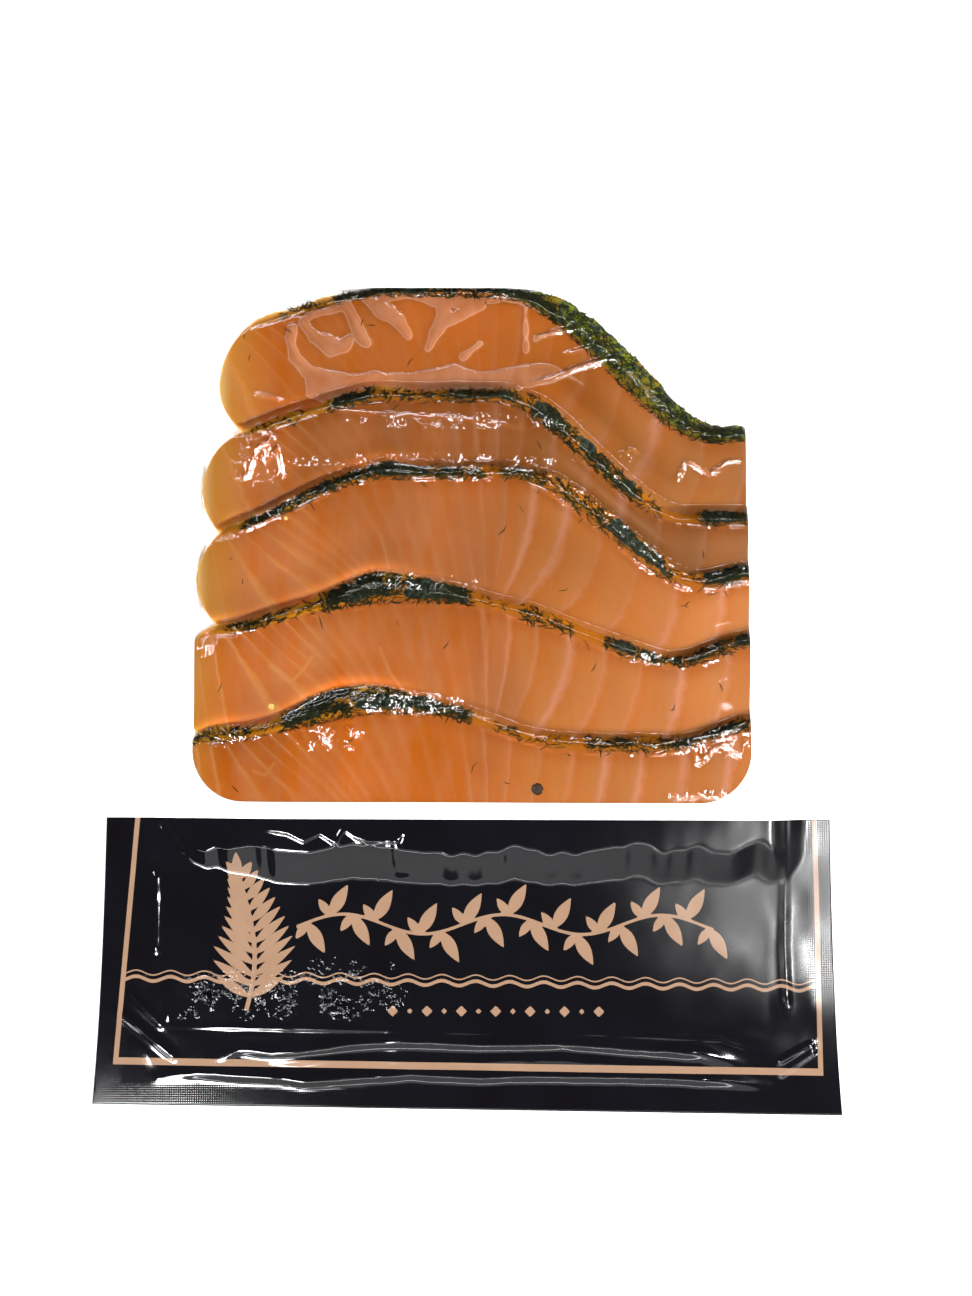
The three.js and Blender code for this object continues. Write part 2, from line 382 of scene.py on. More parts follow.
class Shader:
    def __init__(self, name):
        self.material = bpy.data.materials.new(name)
        self.material.use_nodes = True
        self.tree = self.material.node_tree
        self.tree.nodes.clear()
        self.out = self.tree.nodes.new("ShaderNodeOutputMaterial")

    def node(self, kind, **settings):
        made = self.tree.nodes.new(kind)
        for key, value in settings.items():
            setattr(made, key, value)
        return made

    def put(self, socket, value):
        if isinstance(value, bpy.types.NodeSocket):
            self.tree.links.new(value, socket)
        elif isinstance(value, (tuple, list)) and len(value) == 3 and socket.type == "RGBA":
            socket.default_value = (*value, 1.0)
        else:
            socket.default_value = value

    def attribute(self, name):
        return self.node("ShaderNodeAttribute", attribute_name=name).outputs["Fac"]

    def grey(self, name):
        """A grey colour whose value is one of the mesh's own values."""
        made = self.node("ShaderNodeCombineColor")
        for socket in made.inputs:
            self.put(socket, self.attribute(name))
        return made.outputs[0]

    def math(self, operation, a, b=0.0, c=0.0, clamp=False):
        made = self.node("ShaderNodeMath", operation=operation, use_clamp=clamp)
        for socket, value in zip(made.inputs, (a, b, c)):
            self.put(socket, value)
        return made.outputs[0]

    def times(self, a, b, clamp=False):
        return self.math("MULTIPLY", a, b, clamp=clamp)

    def plus(self, a, b):
        return self.math("ADD", a, b)

    def minus(self, a, b):
        return self.math("SUBTRACT", a, b)

    def line(self, a, slope, start, clamp=False):
        """start, plus a times slope."""
        return self.math("MULTIPLY_ADD", a, slope, start, clamp=clamp)

    def least(self, a, b):
        return self.math("MINIMUM", a, b)

    def most(self, a, b):
        return self.math("MAXIMUM", a, b)

    def unsigned(self, a):
        return self.math("ABSOLUTE", a)

    def ramp(self, value, low, high, start=0.0, end=1.0):
        made = self.node("ShaderNodeMapRange", interpolation_type="SMOOTHSTEP")
        for socket, entry in zip(made.inputs, (value, low, high, start, end)):
            self.put(socket, entry)
        return made.outputs[0]

    def mix(self, share, a, b, blend="MIX"):
        made = self.node("ShaderNodeMix", data_type="RGBA", blend_type=blend)
        self.put(made.inputs[0], share)
        self.put(made.inputs[6], a)
        self.put(made.inputs[7], b)
        return made.outputs[2]

    def layers(self, colour, *over):
        """A colour with others laid over it in turn, each given as (share, colour)."""
        for share, other in over:
            colour = self.mix(share, colour, other)
        return colour

    def place(self):
        """The place on the object, in metres."""
        return self.node("ShaderNodeTexCoord").outputs["Object"]

    def noise(self, scale, detail=3.0, roughness=0.55, vector=None):
        made = self.node("ShaderNodeTexNoise")
        self.put(made.inputs["Vector"], vector or self.place())
        made.inputs["Scale"].default_value = scale
        made.inputs["Detail"].default_value = detail
        made.inputs["Roughness"].default_value = roughness
        return made.outputs["Fac"]

    def streaks(self, scales, detail, roughness, angle=0.0):
        """Noise with its own scale along each axis, after a turn round the upright one."""
        made = self.node("ShaderNodeMapping")
        self.put(made.inputs["Vector"], self.place())
        made.inputs["Rotation"].default_value = (0, 0, angle)
        made.inputs["Scale"].default_value = scales
        return self.noise(1.0, detail, roughness, made.outputs["Vector"])

    def bump(self, height, strength, distance):
        made = self.node("ShaderNodeBump")
        self.put(made.inputs["Height"], height)
        made.inputs["Strength"].default_value = strength
        made.inputs["Distance"].default_value = distance
        return made.outputs["Normal"]

    def gloss(self, rough, normal):
        made = self.node("ShaderNodeBsdfAnisotropic", distribution="GGX")
        made.inputs["Roughness"].default_value = rough
        self.put(made.inputs["Normal"], normal)
        return made

    def finish(self, surface):
        self.tree.links.new(surface, self.out.inputs["Surface"])
        return self.material

    def finish_principled(self, **values):
        made = self.node("ShaderNodeBsdfPrincipled")
        for key, value in values.items():
            self.put(made.inputs[key.replace("_", " ")], value)
        return self.finish(made.outputs["BSDF"])


def srgb(r, g, b):
    """A colour given as 0 to 255 values, as the linear values that shaders take."""
    return tuple(((v / 255 + 0.055) / 1.055) ** 2.4 if v > 10 else v / 255 / 12.92
                 for v in (r, g, b))


# Salmon: a moist, slightly see-through flesh with pale fat lines between its flakes

FLESH = dict(
    orange=srgb(204, 111, 10), pink=srgb(203, 131, 76), deep=srgb(182, 90, 6),
    golden=srgb(206, 140, 68), nose=srgb(206, 150, 60), tip=srgb(222, 190, 122),
    halo=srgb(210, 142, 100), narrow_fat=srgb(222, 160, 84), broad_fat=srgb(222, 156, 120),
)
# Colours under the lifted film; the rim colour is a painted highlight along the lifted film's edge
UNDER_FILM = dict(dim=srgb(198, 132, 90), milky=srgb(212, 152, 118), juice=srgb(198, 104, 6),
                  rim=srgb(232, 178, 144))
# Colours of the seasoned edge; the last is painted light on the bevel's steep lower wall, which lies in
# shade
CRUST = dict(brown=srgb(172, 104, 14), ochre=srgb(210, 142, 18), herb=srgb(118, 108, 20),
             painted_light_on_wall=srgb(250, 186, 60))
DILL = dict(dark=srgb(12, 20, 20), grey=srgb(72, 84, 70), fresh=srgb(112, 118, 10))


def fat_lines(s, pitch, fat):
    """(pale lines between the flakes, the soft side of each, share of the way over the flake)."""
    shift = s.line(s.noise(480, 4, 0.65), 0.19, s.line(s.noise(120, 2, 0.5), 0.18, -0.185))
    row = s.plus(s.attribute("flake"), shift)
    draw = s.node("ShaderNodeTexWhiteNoise", noise_dimensions="1D")
    s.put(draw.inputs["W"], s.math("ROUND", row))
    chance = draw.outputs["Value"]
    share = s.math("FRACT", row)
    away = s.times(s.least(share, s.minus(1.0, share)), pitch)
    fading = s.ramp(s.noise(85, 2, 0.5), 0.32, 0.56, 0.4, 1.0)
    strength = s.times(s.times(fat, fading), s.ramp(chance, 0.0, 0.7, 0.3, 1.0))
    broad = s.plus(s.ramp(pitch, 6.0, 9.5, 0.5, 1.8), s.ramp(fat, 0.6, 0.3, 0.0, 1.4))
    thick = s.times(broad, s.ramp(chance, 0.0, 1.0, 0.7, 1.35))
    drawn = s.times(s.ramp(away, thick, 0.08), strength)
    stray = s.times(s.ramp(s.attribute("mark"), 0.75, 0.15), 0.6)
    return s.most(drawn, stray), s.times(s.ramp(share, 0.62, 1.0), strength), share


def flesh_colour(s, pitch, fat, line, halo, share):
    """Orange to pink, deeper beside the dill edge, and yellow to pale at the nose."""
    nose = s.attribute("nose")
    uneven = s.line(s.streaks((230, 48, 60), 3, 0.55), 0.6, s.times(s.noise(34, 3, 0.5), 0.4))
    pinkness = s.line(s.minus(uneven, 0.5), 3.4, s.attribute("pink"), clamp=True)
    fat_colour = s.mix(s.ramp(pitch, 4.5, 8.0), FLESH["narrow_fat"], FLESH["broad_fat"])
    return s.layers(
        s.mix(pinkness, FLESH["orange"], FLESH["pink"]),
        (s.times(s.ramp(pitch, 6.3, 8.8), 0.6), FLESH["golden"]),
        (s.times(s.ramp(share, 0.0, 0.75, 0.75, 0.0), s.times(fat, 0.6)), FLESH["orange"]),
        (s.times(s.ramp(s.attribute("below"), 6.0, 0.0), 0.5), FLESH["deep"]),
        (s.times(s.streaks((700, 90, 60), 4, 0.6), 0.25), FLESH["deep"]),
        (s.times(s.ramp(nose, 17.0, 2.0), 0.75), FLESH["nose"]),
        (s.times(s.ramp(nose, 4.0, 0.0), 0.8), FLESH["tip"]),
        (s.times(halo, 0.55), FLESH["halo"]),
        (s.times(line, 0.66), fat_colour),
    )


def under_lifted_film(s, colour):
    """Milky where the film stands off the flesh, with a painted highlight along its edge and a pool of
    juice beside it.
    """
    lift = s.attribute("lift")
    milky = s.mix(s.ramp(s.noise(140, 3), 0.35, 0.65), UNDER_FILM["dim"], UNDER_FILM["milky"])
    juice = s.times(s.ramp(lift, 0.2, 0.8), s.ramp(lift, 14.0, 3.0))
    # painted highlight: a pale line along the edge of each place where the film stands off
    rim = s.ramp(s.unsigned(s.plus(lift, 0.05)), 0.28, 0.06)
    return s.layers(colour, (s.times(s.ramp(lift, 0.2, -0.3), 0.58), milky),
                    (s.times(juice, 0.5), UNDER_FILM["juice"]),
                    (s.times(rim, 0.7), UNDER_FILM["rim"]))


def seasoned(s, colour):
    """(the colour with its crust and dill, how much the dill covers, how high it stands)."""
    herb = s.attribute("herb")
    on_edge = s.times(s.ramp(s.attribute("below"), 0.5, -0.5), s.ramp(s.attribute("nose"), 4.0, 12.0))
    # the crust is lightened with painted light on the steep lower wall of each bevel at the left
    crust = s.layers(CRUST["brown"], (s.attribute("ochre"), CRUST["ochre"]), (herb, CRUST["herb"]),
                     (s.attribute("painted_light_on_wall"), CRUST["painted_light_on_wall"]))
    crossed = s.least(s.streaks((1150, 330, 600), 3, 0.7, 0.55),
                      s.streaks((330, 1150, 600), 3, 0.7, 0.4))
    dots = s.line(s.noise(430, 3, 0.6), 1.1, s.times(crossed, 1.5))
    dots = s.plus(dots, s.times(s.noise(150, 2, 0.5), 1.1))
    cover = s.ramp(s.line(s.attribute("dill"), 2.0, dots), 3.25, 3.35)
    green = s.mix(s.ramp(s.noise(900, 3, 0.7), 0.38, 0.66), DILL["dark"], DILL["grey"])
    fresh = s.times(herb, s.ramp(s.noise(600, 3), 0.45, 0.6))
    green = s.mix(fresh, green, DILL["fresh"])
    return s.layers(colour, (s.times(on_edge, 0.8), crust), (cover, green)), cover, dots


def salmon_material():
    s = Shader("salmon_flesh")
    pitch, fat = s.attribute("pitch"), s.attribute("fat")
    line, halo, share = fat_lines(s, pitch, fat)
    colour = under_lifted_film(s, flesh_colour(s, pitch, fat, line, halo, share))
    # the flesh is multiplied by its tone, which carries painted light and shade at the slices' ends and
    # in the narrow gaps at the left
    colour = s.mix(1.0, colour, s.grey("tone_and_painted_light"), "MULTIPLY")
    colour, cover, dots = seasoned(s, colour)
    relief = s.plus(s.times(s.noise(1500, 3, 0.6), 0.3), s.times(line, -0.5))
    relief = s.plus(relief, s.times(cover, dots))
    return s.finish_principled(
        Base_Color=colour,
        Roughness=0.42,
        Specular_IOR_Level=0.12,
        Subsurface_Weight=0.3,
        Subsurface_Radius=(1.0, 0.35, 0.12),
        Subsurface_Scale=0.0018,
        Normal=s.bump(relief, 0.5, 0.0003),
    )


# The other materials

# The clear film: how much it lets through, and how strongly it mirrors over the heap,
# beside it, and where it is doubled up in folds
CLEAR = dict(through=0.99, ior=1.55, rough=0.03, mirror=1.15, beside=0.3, folds=0.45,
             fold_rough=0.08)


def film_material():
    """Clear film: see-through, with a mirror gloss that grows towards grazing angles."""
    s = Shader("clear_film")
    coarse = s.unsigned(s.minus(s.noise(460, 2, 0.5), 0.5))
    fine = s.unsigned(s.minus(s.noise(1250, 2, 0.5), 0.5))
    relief = s.times(s.line(fine, 0.3, coarse), s.plus(s.attribute("crumple"), 0.04))
    patch = s.attribute("patch")
    web = s.unsigned(s.line(s.noise(560, 1, 0.5), 2.0, -1.0))
    relief = s.line(s.times(patch, s.ramp(web, 0.2, 0.0)), 0.6, relief)
    normal = s.bump(relief, 0.8, 0.0006)
    clear = s.node("ShaderNodeBsdfTransparent")
    s.put(clear.inputs["Color"], (CLEAR["through"],) * 3)
    edge = s.node("ShaderNodeFresnel")
    edge.inputs["IOR"].default_value = CLEAR["ior"]
    s.put(edge.inputs["Normal"], normal)
    strength = s.line(s.attribute("bare"), CLEAR["beside"] - CLEAR["mirror"], CLEAR["mirror"])
    film = s.node("ShaderNodeMixShader")
    s.put(film.inputs[0], s.times(edge.outputs[0], strength, clamp=True))
    s.put(film.inputs[1], clear.outputs[0])
    s.put(film.inputs[2], s.gloss(CLEAR["rough"], normal).outputs[0])
    lines = s.times(s.ramp(web, 0.2, 0.1), patch)
    doubled = s.times(s.most(lines, s.attribute("folded")), CLEAR["folds"])
    glint = s.gloss(CLEAR["fold_rough"], normal)
    s.put(glint.inputs["Color"], s.mix(doubled, (0.0, 0.0, 0.0), (1.0, 1.0, 1.0)))
    whole = s.node("ShaderNodeAddShader")
    s.put(whole.inputs[0], film.outputs[0])
    s.put(whole.inputs[1], glint.outputs[0])
    return s.finish(whole.outputs[0])


def white_print_material():
    s = Shader("white_print")
    return s.finish_principled(
        Base_Color=s.mix(s.noise(60, 3), srgb(240, 240, 238), srgb(250, 250, 249)),
        Roughness=0.22,
        Normal=s.bump(s.noise(900, 2), 0.15, 0.0001),
    )


# The label's frame: slope and start of each side, and how much wider the upright ones look.
# Its double wave: length, swing, the middle's slope and start, and (place, half width) of each line.
FRAME_LINE = dict(left=(0.071, -85.9), right=(-0.012, 93.0), bottom=(-0.0124, -112.5),
                  narrower=1.4, half=0.93)
WAVE = dict(length=9.1, swing=0.62, middle=(-0.0114, -89.9), lines=((0.85, 0.19), (-0.75, 0.47)))
KNURL = dict(pitch=5.2, height=0.045)


def label_material():
    """Glossy black print with the frame, the double wave and the ornament in beige."""
    s = Shader("label_print")
    part = s.node("ShaderNodeSeparateXYZ")
    s.put(part.inputs[0], s.place())
    x, y = (s.times(part.outputs[n], 1 / MM) for n in (0, 1))

    def stripe(away, half):
        """Ink along a line, with an edge that is a tenth of a millimetre soft."""
        return s.ramp(s.unsigned(away), half + 0.05, half - 0.05)

    from_left = s.minus(x, s.line(y, *FRAME_LINE["left"]))
    from_right = s.minus(s.line(y, *FRAME_LINE["right"]), x)
    from_bottom = s.minus(y, s.line(x, *FRAME_LINE["bottom"]))
    from_side = s.times(s.least(from_left, from_right), FRAME_LINE["narrower"])
    inside = s.least(from_bottom, from_side)
    swing = s.math("SINE", s.times(x, 2 * math.pi / WAVE["length"]))
    height = s.minus(y, s.line(swing, WAVE["swing"], s.line(x, *WAVE["middle"])))
    upper, lower = (stripe(s.minus(height, at), half) for at, half in WAVE["lines"])
    waves = s.times(s.most(upper, lower), s.ramp(inside, 0.0, 0.2))
    ornament = s.ramp(s.attribute("ornament"), -0.06, 0.06)
    printed = s.most(s.most(stripe(inside, FRAME_LINE["half"]), waves), ornament)
    dark = s.mix(s.noise(50, 3), srgb(7, 5, 7), srgb(12, 13, 17))
    beige = s.mix(s.noise(110, 3), srgb(116, 92, 74), srgb(130, 103, 83))
    rows = [s.math("SINE", s.times(s.math(way, x, y), KNURL["pitch"])) for way in ("ADD", "SUBTRACT")]
    weave = s.times(s.times(*rows), s.times(s.attribute("knurl"), KNURL["height"]))
    sparkle = s.times(s.ramp(s.noise(700, 2, 0.5), 0.5, 0.64), s.attribute("sparkle"))
    relief = s.plus(weave, s.times(sparkle, 1.2))
    relief = s.plus(relief, s.times(s.noise(420, 2), 0.05))
    return s.finish_principled(
        Base_Color=s.mix(printed, dark, beige),
        Roughness=s.line(s.attribute("haze"), 0.3, 0.07),
        Normal=s.bump(relief, 0.5, 0.00022),
    )


def needle_material(name, first, second):
    s = Shader(name)
    return s.finish_principled(Base_Color=s.mix(s.noise(260, 2), first, second), Roughness=0.45,
                               Specular_IOR_Level=0.2)


def spice_material(name, dark, light, scale):
    s = Shader(name)
    pits = s.noise(scale, 4, 0.6)
    return s.finish_principled(
        Base_Color=s.mix(s.ramp(pits, 0.35, 0.65), dark, light),
        Roughness=0.55,
        Specular_IOR_Level=0.2,
        Normal=s.bump(pits, 0.8, 0.0004),
    )


def card_material():
    s = Shader("white_card")
    fibre = s.streaks((700, 200, 200), 4, 0.6)
    return s.finish_principled(
        Base_Color=s.mix(fibre, srgb(250, 250, 249), srgb(255, 255, 254)),
        Roughness=0.5,
        Normal=s.bump(fibre, 0.15, 0.0001),
    )


# The slices

# Fat lines: each starts on the shoulder of its slice. At the left end they fan out down
# and to the right, and on the right half they curve the other way, further apart.
LINE_STARTS = np.linspace(-95, 95, 761)
LINE_OFFSETS = [-0.6, 0.35, 0.0, -0.12, -0.17]
FAN_PLACES = [-75, -69, -65, -61, -56, -45, -25, 12]
FAN_LEANS = [0.10, 0.20, 0.65, 0.85, 0.90, 0.70, 0.40, 0.0]

# How strongly the fat lines show, from left to right
FAT_PLACES = [-72, -52, -38, -8, 16, 76]
FAT_SHARES = [0.95, 0.85, 0.28, 0.2, 0.95, 1.0]

# Fat lines that stray from the fan: slice, then places
STRAY_LINES = [
    (3, [(-53.4, -6.0), (-48.1, -10.6), (-44.9, -7.5), (-42.1, -3.5)]),
    (4, [(-57.4, -34.1), (-54.2, -35.3), (-51.8, -32.1)]),
    (2, [(-24, 30), (-22, 22), (-20.1, 16)]),
    (3, [(-24, -1), (-21, -8), (-16, -14)]),
]

# Where the film stands off the far slice: runs of places with the half width at each
LIFTED = [
    [(-48.9, 87.5, 1.3), (-49.2, 83.0, 1.5), (-48.0, 79.2, 1.6), (-45.0, 75.5, 1.7),
     (-40.9, 72.6, 1.5)],
    [(-46.4, 89.3, 0.9), (-43.6, 91.4, 1.2), (-39.5, 92.3, 1.3), (-35.3, 92.9, 1.0)],
    [(-46.0, 88.8, 1.0), (-42.7, 84.7, 2.0), (-38.5, 82.3, 2.6), (-34.8, 82.4, 1.5),
     (-33.0, 84.8, 0.9)],
    [(-34.7, 94.3, 1.8), (-32.8, 91.1, 1.7), (-30.3, 85.6, 1.7), (-28.6, 83.3, 1.2)],
    [(-29.2, 95.8, 1.0), (-24.4, 92.8, 2.2), (-19.8, 89.6, 2.2), (-17.2, 85.4, 1.0)],
    [(-23.8, 96.3, 1.6), (-17.2, 97.0, 1.2), (-9.7, 95.8, 2.4), (-3.1, 95.6, 2.6), (8.0, 96.6, 1.6)],
    [(-7.7, 95.8, 2.0), (-7.2, 91.2, 1.9), (-9.3, 86.5, 1.5), (-11.5, 81.6, 0.8)],
    [(-7.0, 89.4, 1.6), (-2.3, 91.6, 1.8), (2.4, 94.2, 2.0)],
    [(2.7, 83.2, 1.0), (-1.8, 79.8, 0.9)],
    [(8.0, 96.4, 1.0), (17.2, 94.6, 1.2), (24.0, 90.5, 1.4)],
    [(15.4, 95.0, 0.5), (15.3, 87.7, 0.4), (15.3, 81.2, 0.3)],
    [(15.9, 71.8, 0.8), (22.5, 73.4, 0.8), (29.5, 76.1, 0.7), (38.3, 79.0, 0.5)],
    [(18.1, 84.6, 0.5), (23.4, 86.6, 0.9), (28.7, 87.3, 0.5)],
]
# The upper edge of the long lifted strip beside the next slice's dill, left to right
LIFTED_STRIP = [
    (-47.1, 78.4), (-43.4, 76.9), (-38.4, 75.3), (-33.5, 74.9), (-28.6, 74.9), (-25.3, 75.8),
    (-22.0, 74.7), (-17.0, 74.7), (-12.1, 75.8), (-7.1, 76.5), (-4.3, 77.3), (-0.5, 75.8),
    (3.2, 74.9), (7.6, 75.9), (12.8, 76.9), (18.1, 77.9), (23.4, 77.0), (31.3, 72.0),
]

# How bright each slice's flesh is coloured, far to near, and the painted light (above 0) and painted
# shade (below 0) that its right and left ends add to that
BRIGHTNESS = (0.80, 0.53, 0.75, 0.77, 0.81)
RIGHT_END_PAINTED_LIGHT = (-0.14, 0.03, 0.10, 0.05, -0.05)
LEFT_END_PAINTED_LIGHT = (0.16, 0.32, 0.11, 0.18, 0.04)
# How pink rather than orange each slice is
PINKNESS = (0.75, 0.75, 0.75, 0.58, 0.34)

# The slices' grids: columns along x, rows over the bevel and rows down the face
SLICE_GRID = dict(along=250, bevel=12, face=64, margin=1.5)


def flake_pitch(x):
    return 4.0 + 2.0 * between(-50, -20, x) + 3.2 * between(-5, 30, x) + 3.6 * between(38, 62, x)


def flake_phase(i, x, v):
    """How far along the row of flakes a place is: fat lines lie at whole numbers."""
    steps = np.diff(LINE_STARTS) / flake_pitch(LINE_STARTS[:-1])
    count = np.concatenate([[0], np.cumsum(steps)])
    count = count - np.interp(26.5, LINE_STARTS, count) + LINE_OFFSETS[i] + 100 + 40 * i
    lean = np.interp(LINE_STARTS, FAN_PLACES, FAN_LEANS)
    curve = between(-5, 30, LINE_STARTS) / 90
    levels = np.clip(v, 0, 62)
    low = np.floor(levels).astype(int)
    phase = np.zeros_like(x)
    for level in range(low.max() + 1):
        here = low == level
        ends = []
        for down in (level, level + 1):
            reached = LINE_STARTS + lean * down - curve * down ** 2
            ends.append(np.interp(x[here], np.maximum.accumulate(reached), count))
        t = levels[here] - level
        phase[here] = ends[0] * (1 - t) + ends[1] * t
    return phase


def stray_distance(i, x, y):
    distance = np.full_like(x, 9.0)
    for which, places in STRAY_LINES:
        if which == i:
            for a, b in zip(places, places[1:]):
                distance = np.minimum(distance, segment(x, y, a, b)[0])
    return distance


def lifted_film(x, y):
    """Signed distance, in millimetres, to the places where the film stands off the flesh."""
    wave = 0.9 * (noise(x, y, 4.5, 31) - 0.5) + 0.5 * (noise(x, y, 2.0, 32) - 0.5)
    distance = np.full_like(x, 50.0)
    for run in LIFTED:
        for (ax, ay, ar), (bx, by, br) in zip(run, run[1:]):
            away, t = segment(x, y, (ax, ay), (bx, by))
            distance = np.minimum(distance, away - ar - (br - ar) * t)
    top = np.interp(x, *zip(*LIFTED_STRIP))
    half = 4.5 - 4.2 * between(6, 29, x)
    strip = np.maximum(np.abs(y - top + half) - half, np.maximum(-45 - x, x - 31))
    return np.minimum(distance, strip) + wave


def dill_density(i, x, y=None):
    """How thickly dill covers the edge, from 0 to 1: clumped, where y is given too."""
    lying = np.zeros_like(x)
    for start, end, amount in DILL_STRETCHES[i]:
        spread = between(start - 2.2, start + 1.6, x) * (1 - between(end - 1.6, end + 2.2, x))
        lying = np.maximum(lying, amount * spread)
    if y is None:
        return lying
    return lying * (0.72 + 0.5 * noise(x, y, 4.2, 140 + i))


def slice_tone_and_painted_light(i, x, y):
    """How bright the flesh is coloured: it varies a little, its ends carry painted light and shade, and
    painted light lifts the shade in the narrow gaps at the left.
    """
    tone_and_painted_light = BRIGHTNESS[i] + RIGHT_END_PAINTED_LIGHT[i] * between(0, 45, x) + LEFT_END_PAINTED_LIGHT[i] * between(-40, -60, x)
    tone_and_painted_light = tone_and_painted_light + 0.14 * (noise(x, y, 22, 97 + i) - 0.5)
    tone_and_painted_light = tone_and_painted_light + 0.09 * (noise(x, y * 0.4, 7, 107 + i) - 0.5)
    # painted light: the flesh is brightened beside the next slice's raised edge, where shade falls
    if i + 1 < len(SLICES):
        gap = y - far_edge(SLICES[i + 1], x)
        tone_and_painted_light = tone_and_painted_light + 0.95 * np.exp(-(gap / 2.3) ** 2) * between(0, -35, x)
    return tone_and_painted_light


def slice_grid(i):
    """Over one slice, from its far edge down: x, y, and the shoulder and bevel at each x."""
    s = SLICES[i]
    half = WINDOW["width"] / 2 + SLICE_GRID["margin"]
    left = max(s["tip"][0] + 0.02, WINDOW["x"] - half)
    share = np.linspace(0, 1, SLICE_GRID["along"]) ** 1.15
    x = left + (WINDOW["x"] + half - left) * share
    edge, wide = shoulder(s, x), bevel(s, x)
    end = near_edge(s, x)
    if i + 1 < len(SLICES):
        after = SLICES[i + 1]
        hidden = np.where(x > after["tip"][0] + 1, far_edge(after, x) - 7, -200)
        end = np.maximum(end, hidden)
    lowest = WINDOW["y"] - WINDOW["height"] / 2 - SLICE_GRID["margin"]
    end = np.minimum(np.maximum(end, lowest), edge - 0.5)
    x, edge, wide, end = x[:, None], edge[:, None], wide[:, None], end[:, None]
    up = np.linspace(1, 0, SLICE_GRID["bevel"], endpoint=False)[None, :]
    along = np.linspace(0, 1, SLICE_GRID["face"])[None, :]
    y = np.concatenate([edge + wide * up, edge + (end - edge) * along], axis=1)
    return np.repeat(x, y.shape[1], axis=1), y, edge, wide


def slice_piece(i, material):
    s = SLICES[i]
    x, plain_y, edge, wide = slice_grid(i)
    share = np.clip((plain_y - edge) / wide, 0, 1)
    ragged = 1.5 * (noise(x, plain_y, 3.4, 50 + i) - 0.5) + 0.7 * (noise(x, plain_y, 1.1, 60 + i) - 0.5)
    y = plain_y + ragged * share * np.minimum(1, wide / 4)
    below = edge - y
    density = dill_density(i, x, y)
    phase, pitch = flake_phase(i, x, below), flake_pitch(x)
    groove = 1 - np.abs(2 * (phase - np.floor(phase)) - 1)
    relief = 0.12 * (noise(x, y, 9, 70 + i) - 0.5) - 0.07 * np.exp(-(groove * pitch / 1.2) ** 2)
    crust = density * np.sin(np.pi * share) * 0.26 * noise(x, y, 1.2, 80 + i)
    top = BASE + face(i, x, plain_y) + np.minimum(relief, 0.05) + crust
    low = np.minimum(BASE + underside(s, x, plain_y), top - 0.3)
    vertices = np.concatenate([points(x, y, top), points(x, y, low)])
    nose = np.minimum(x - s["tip"][0], 1.6 * np.maximum(y - near_edge(s, x), 0) + 2.0)
    fat = np.interp(x, FAT_PLACES, FAT_SHARES) * (0.6 + 0.5 * noise(x, y, 12, 90 + i))
    profile = 0.4 + 0.6 * between(-0.1, 0.25, share) * (1 - 0.3 * between(0.75, 1.1, share))
    profile = np.where(share > 0, profile, 0.5 * between(1.0, -0.2, below))
    far_slice = i == 0
    values = dict(
        below=below,
        flake=phase,
        pitch=pitch,
        fat=fat * between(-1.0, 1.5, below),
        dill=density * profile,
        nose=nose,
        lift=lifted_film(x, y) if far_slice else np.full_like(x, 20.0),
        mark=stray_distance(i, x, y),
        tone_and_painted_light=slice_tone_and_painted_light(i, x, y),
        herb=far_slice * between(6, 22, x),
        ochre=between(-20, -42, x),
        pink=PINKNESS[i] + 0.2 * between(15, 60, x),
        # painted light on the steep lower wall of the bevel at the left, where shade falls
        painted_light_on_wall=0.9 * between(0.4, 0.95, share) * between(5, -30, x),
    )
    values = {name: np.tile(np.ravel(value), 2) for name, value in values.items()}
    piece = make_mesh(f"salmon_slice_{i + 1}", vertices, closed_quads(*x.shape, flip=True), values)
    return carry(piece, f"slice_{i + 1}", slot="salmon", material=material)


# Dill and spices

def needles(name, centres, angles, lengths, radii, lifts, bends, material):
    """Thin bent prisms in one mesh, each with three corners round and three stations along."""
    count = len(centres)
    stations = [(-0.5, 0.55), (0.0, 1.0), (0.5, 0.4)]
    corners = [(0.87, -0.5), (0, 1), (-0.87, -0.5)]
    ahead = np.stack([np.cos(angles), np.sin(angles)], -1)
    aside = np.stack([-np.sin(angles), np.cos(angles)], -1)
    places = np.zeros((count, 3, 3, 3))
    for k, (along, taper) in enumerate(stations):
        bent = bends * (1 - (2 * along) ** 2)
        flat = centres[:, :2] + ahead * (along * lengths)[:, None] + aside * bent[:, None]
        height = centres[:, 2] + lifts * along
        for c, (side, up) in enumerate(corners):
            places[:, k, c, :2] = flat + aside * (side * radii * taper)[:, None]
            places[:, k, c, 2] = height + up * radii * taper * 0.8
    start = (np.arange(count) * 9)[:, None]
    triangles = [start + np.array([2, 1, 0]), start + np.array([6, 7, 8])]
    for k in (0, 3):
        for c in range(3):
            n = (c + 1) % 3
            triangles.append(start + np.array([k + c, k + n, k + 3 + n]))
            triangles.append(start + np.array([k + c, k + 3 + n, k + 3 + c]))
    piece = make_mesh(name, places.reshape(-1, 3), np.concatenate(triangles))
    piece.data.shade_flat()
    return carry(piece, slot="dill", material=material)


def in_window(x, y, margin):
    return outside(WINDOW, x, y) < -margin


def top_face(x, y):
    """Height of the slice that shows at each place."""
    return BASE + heap_height(x, y)


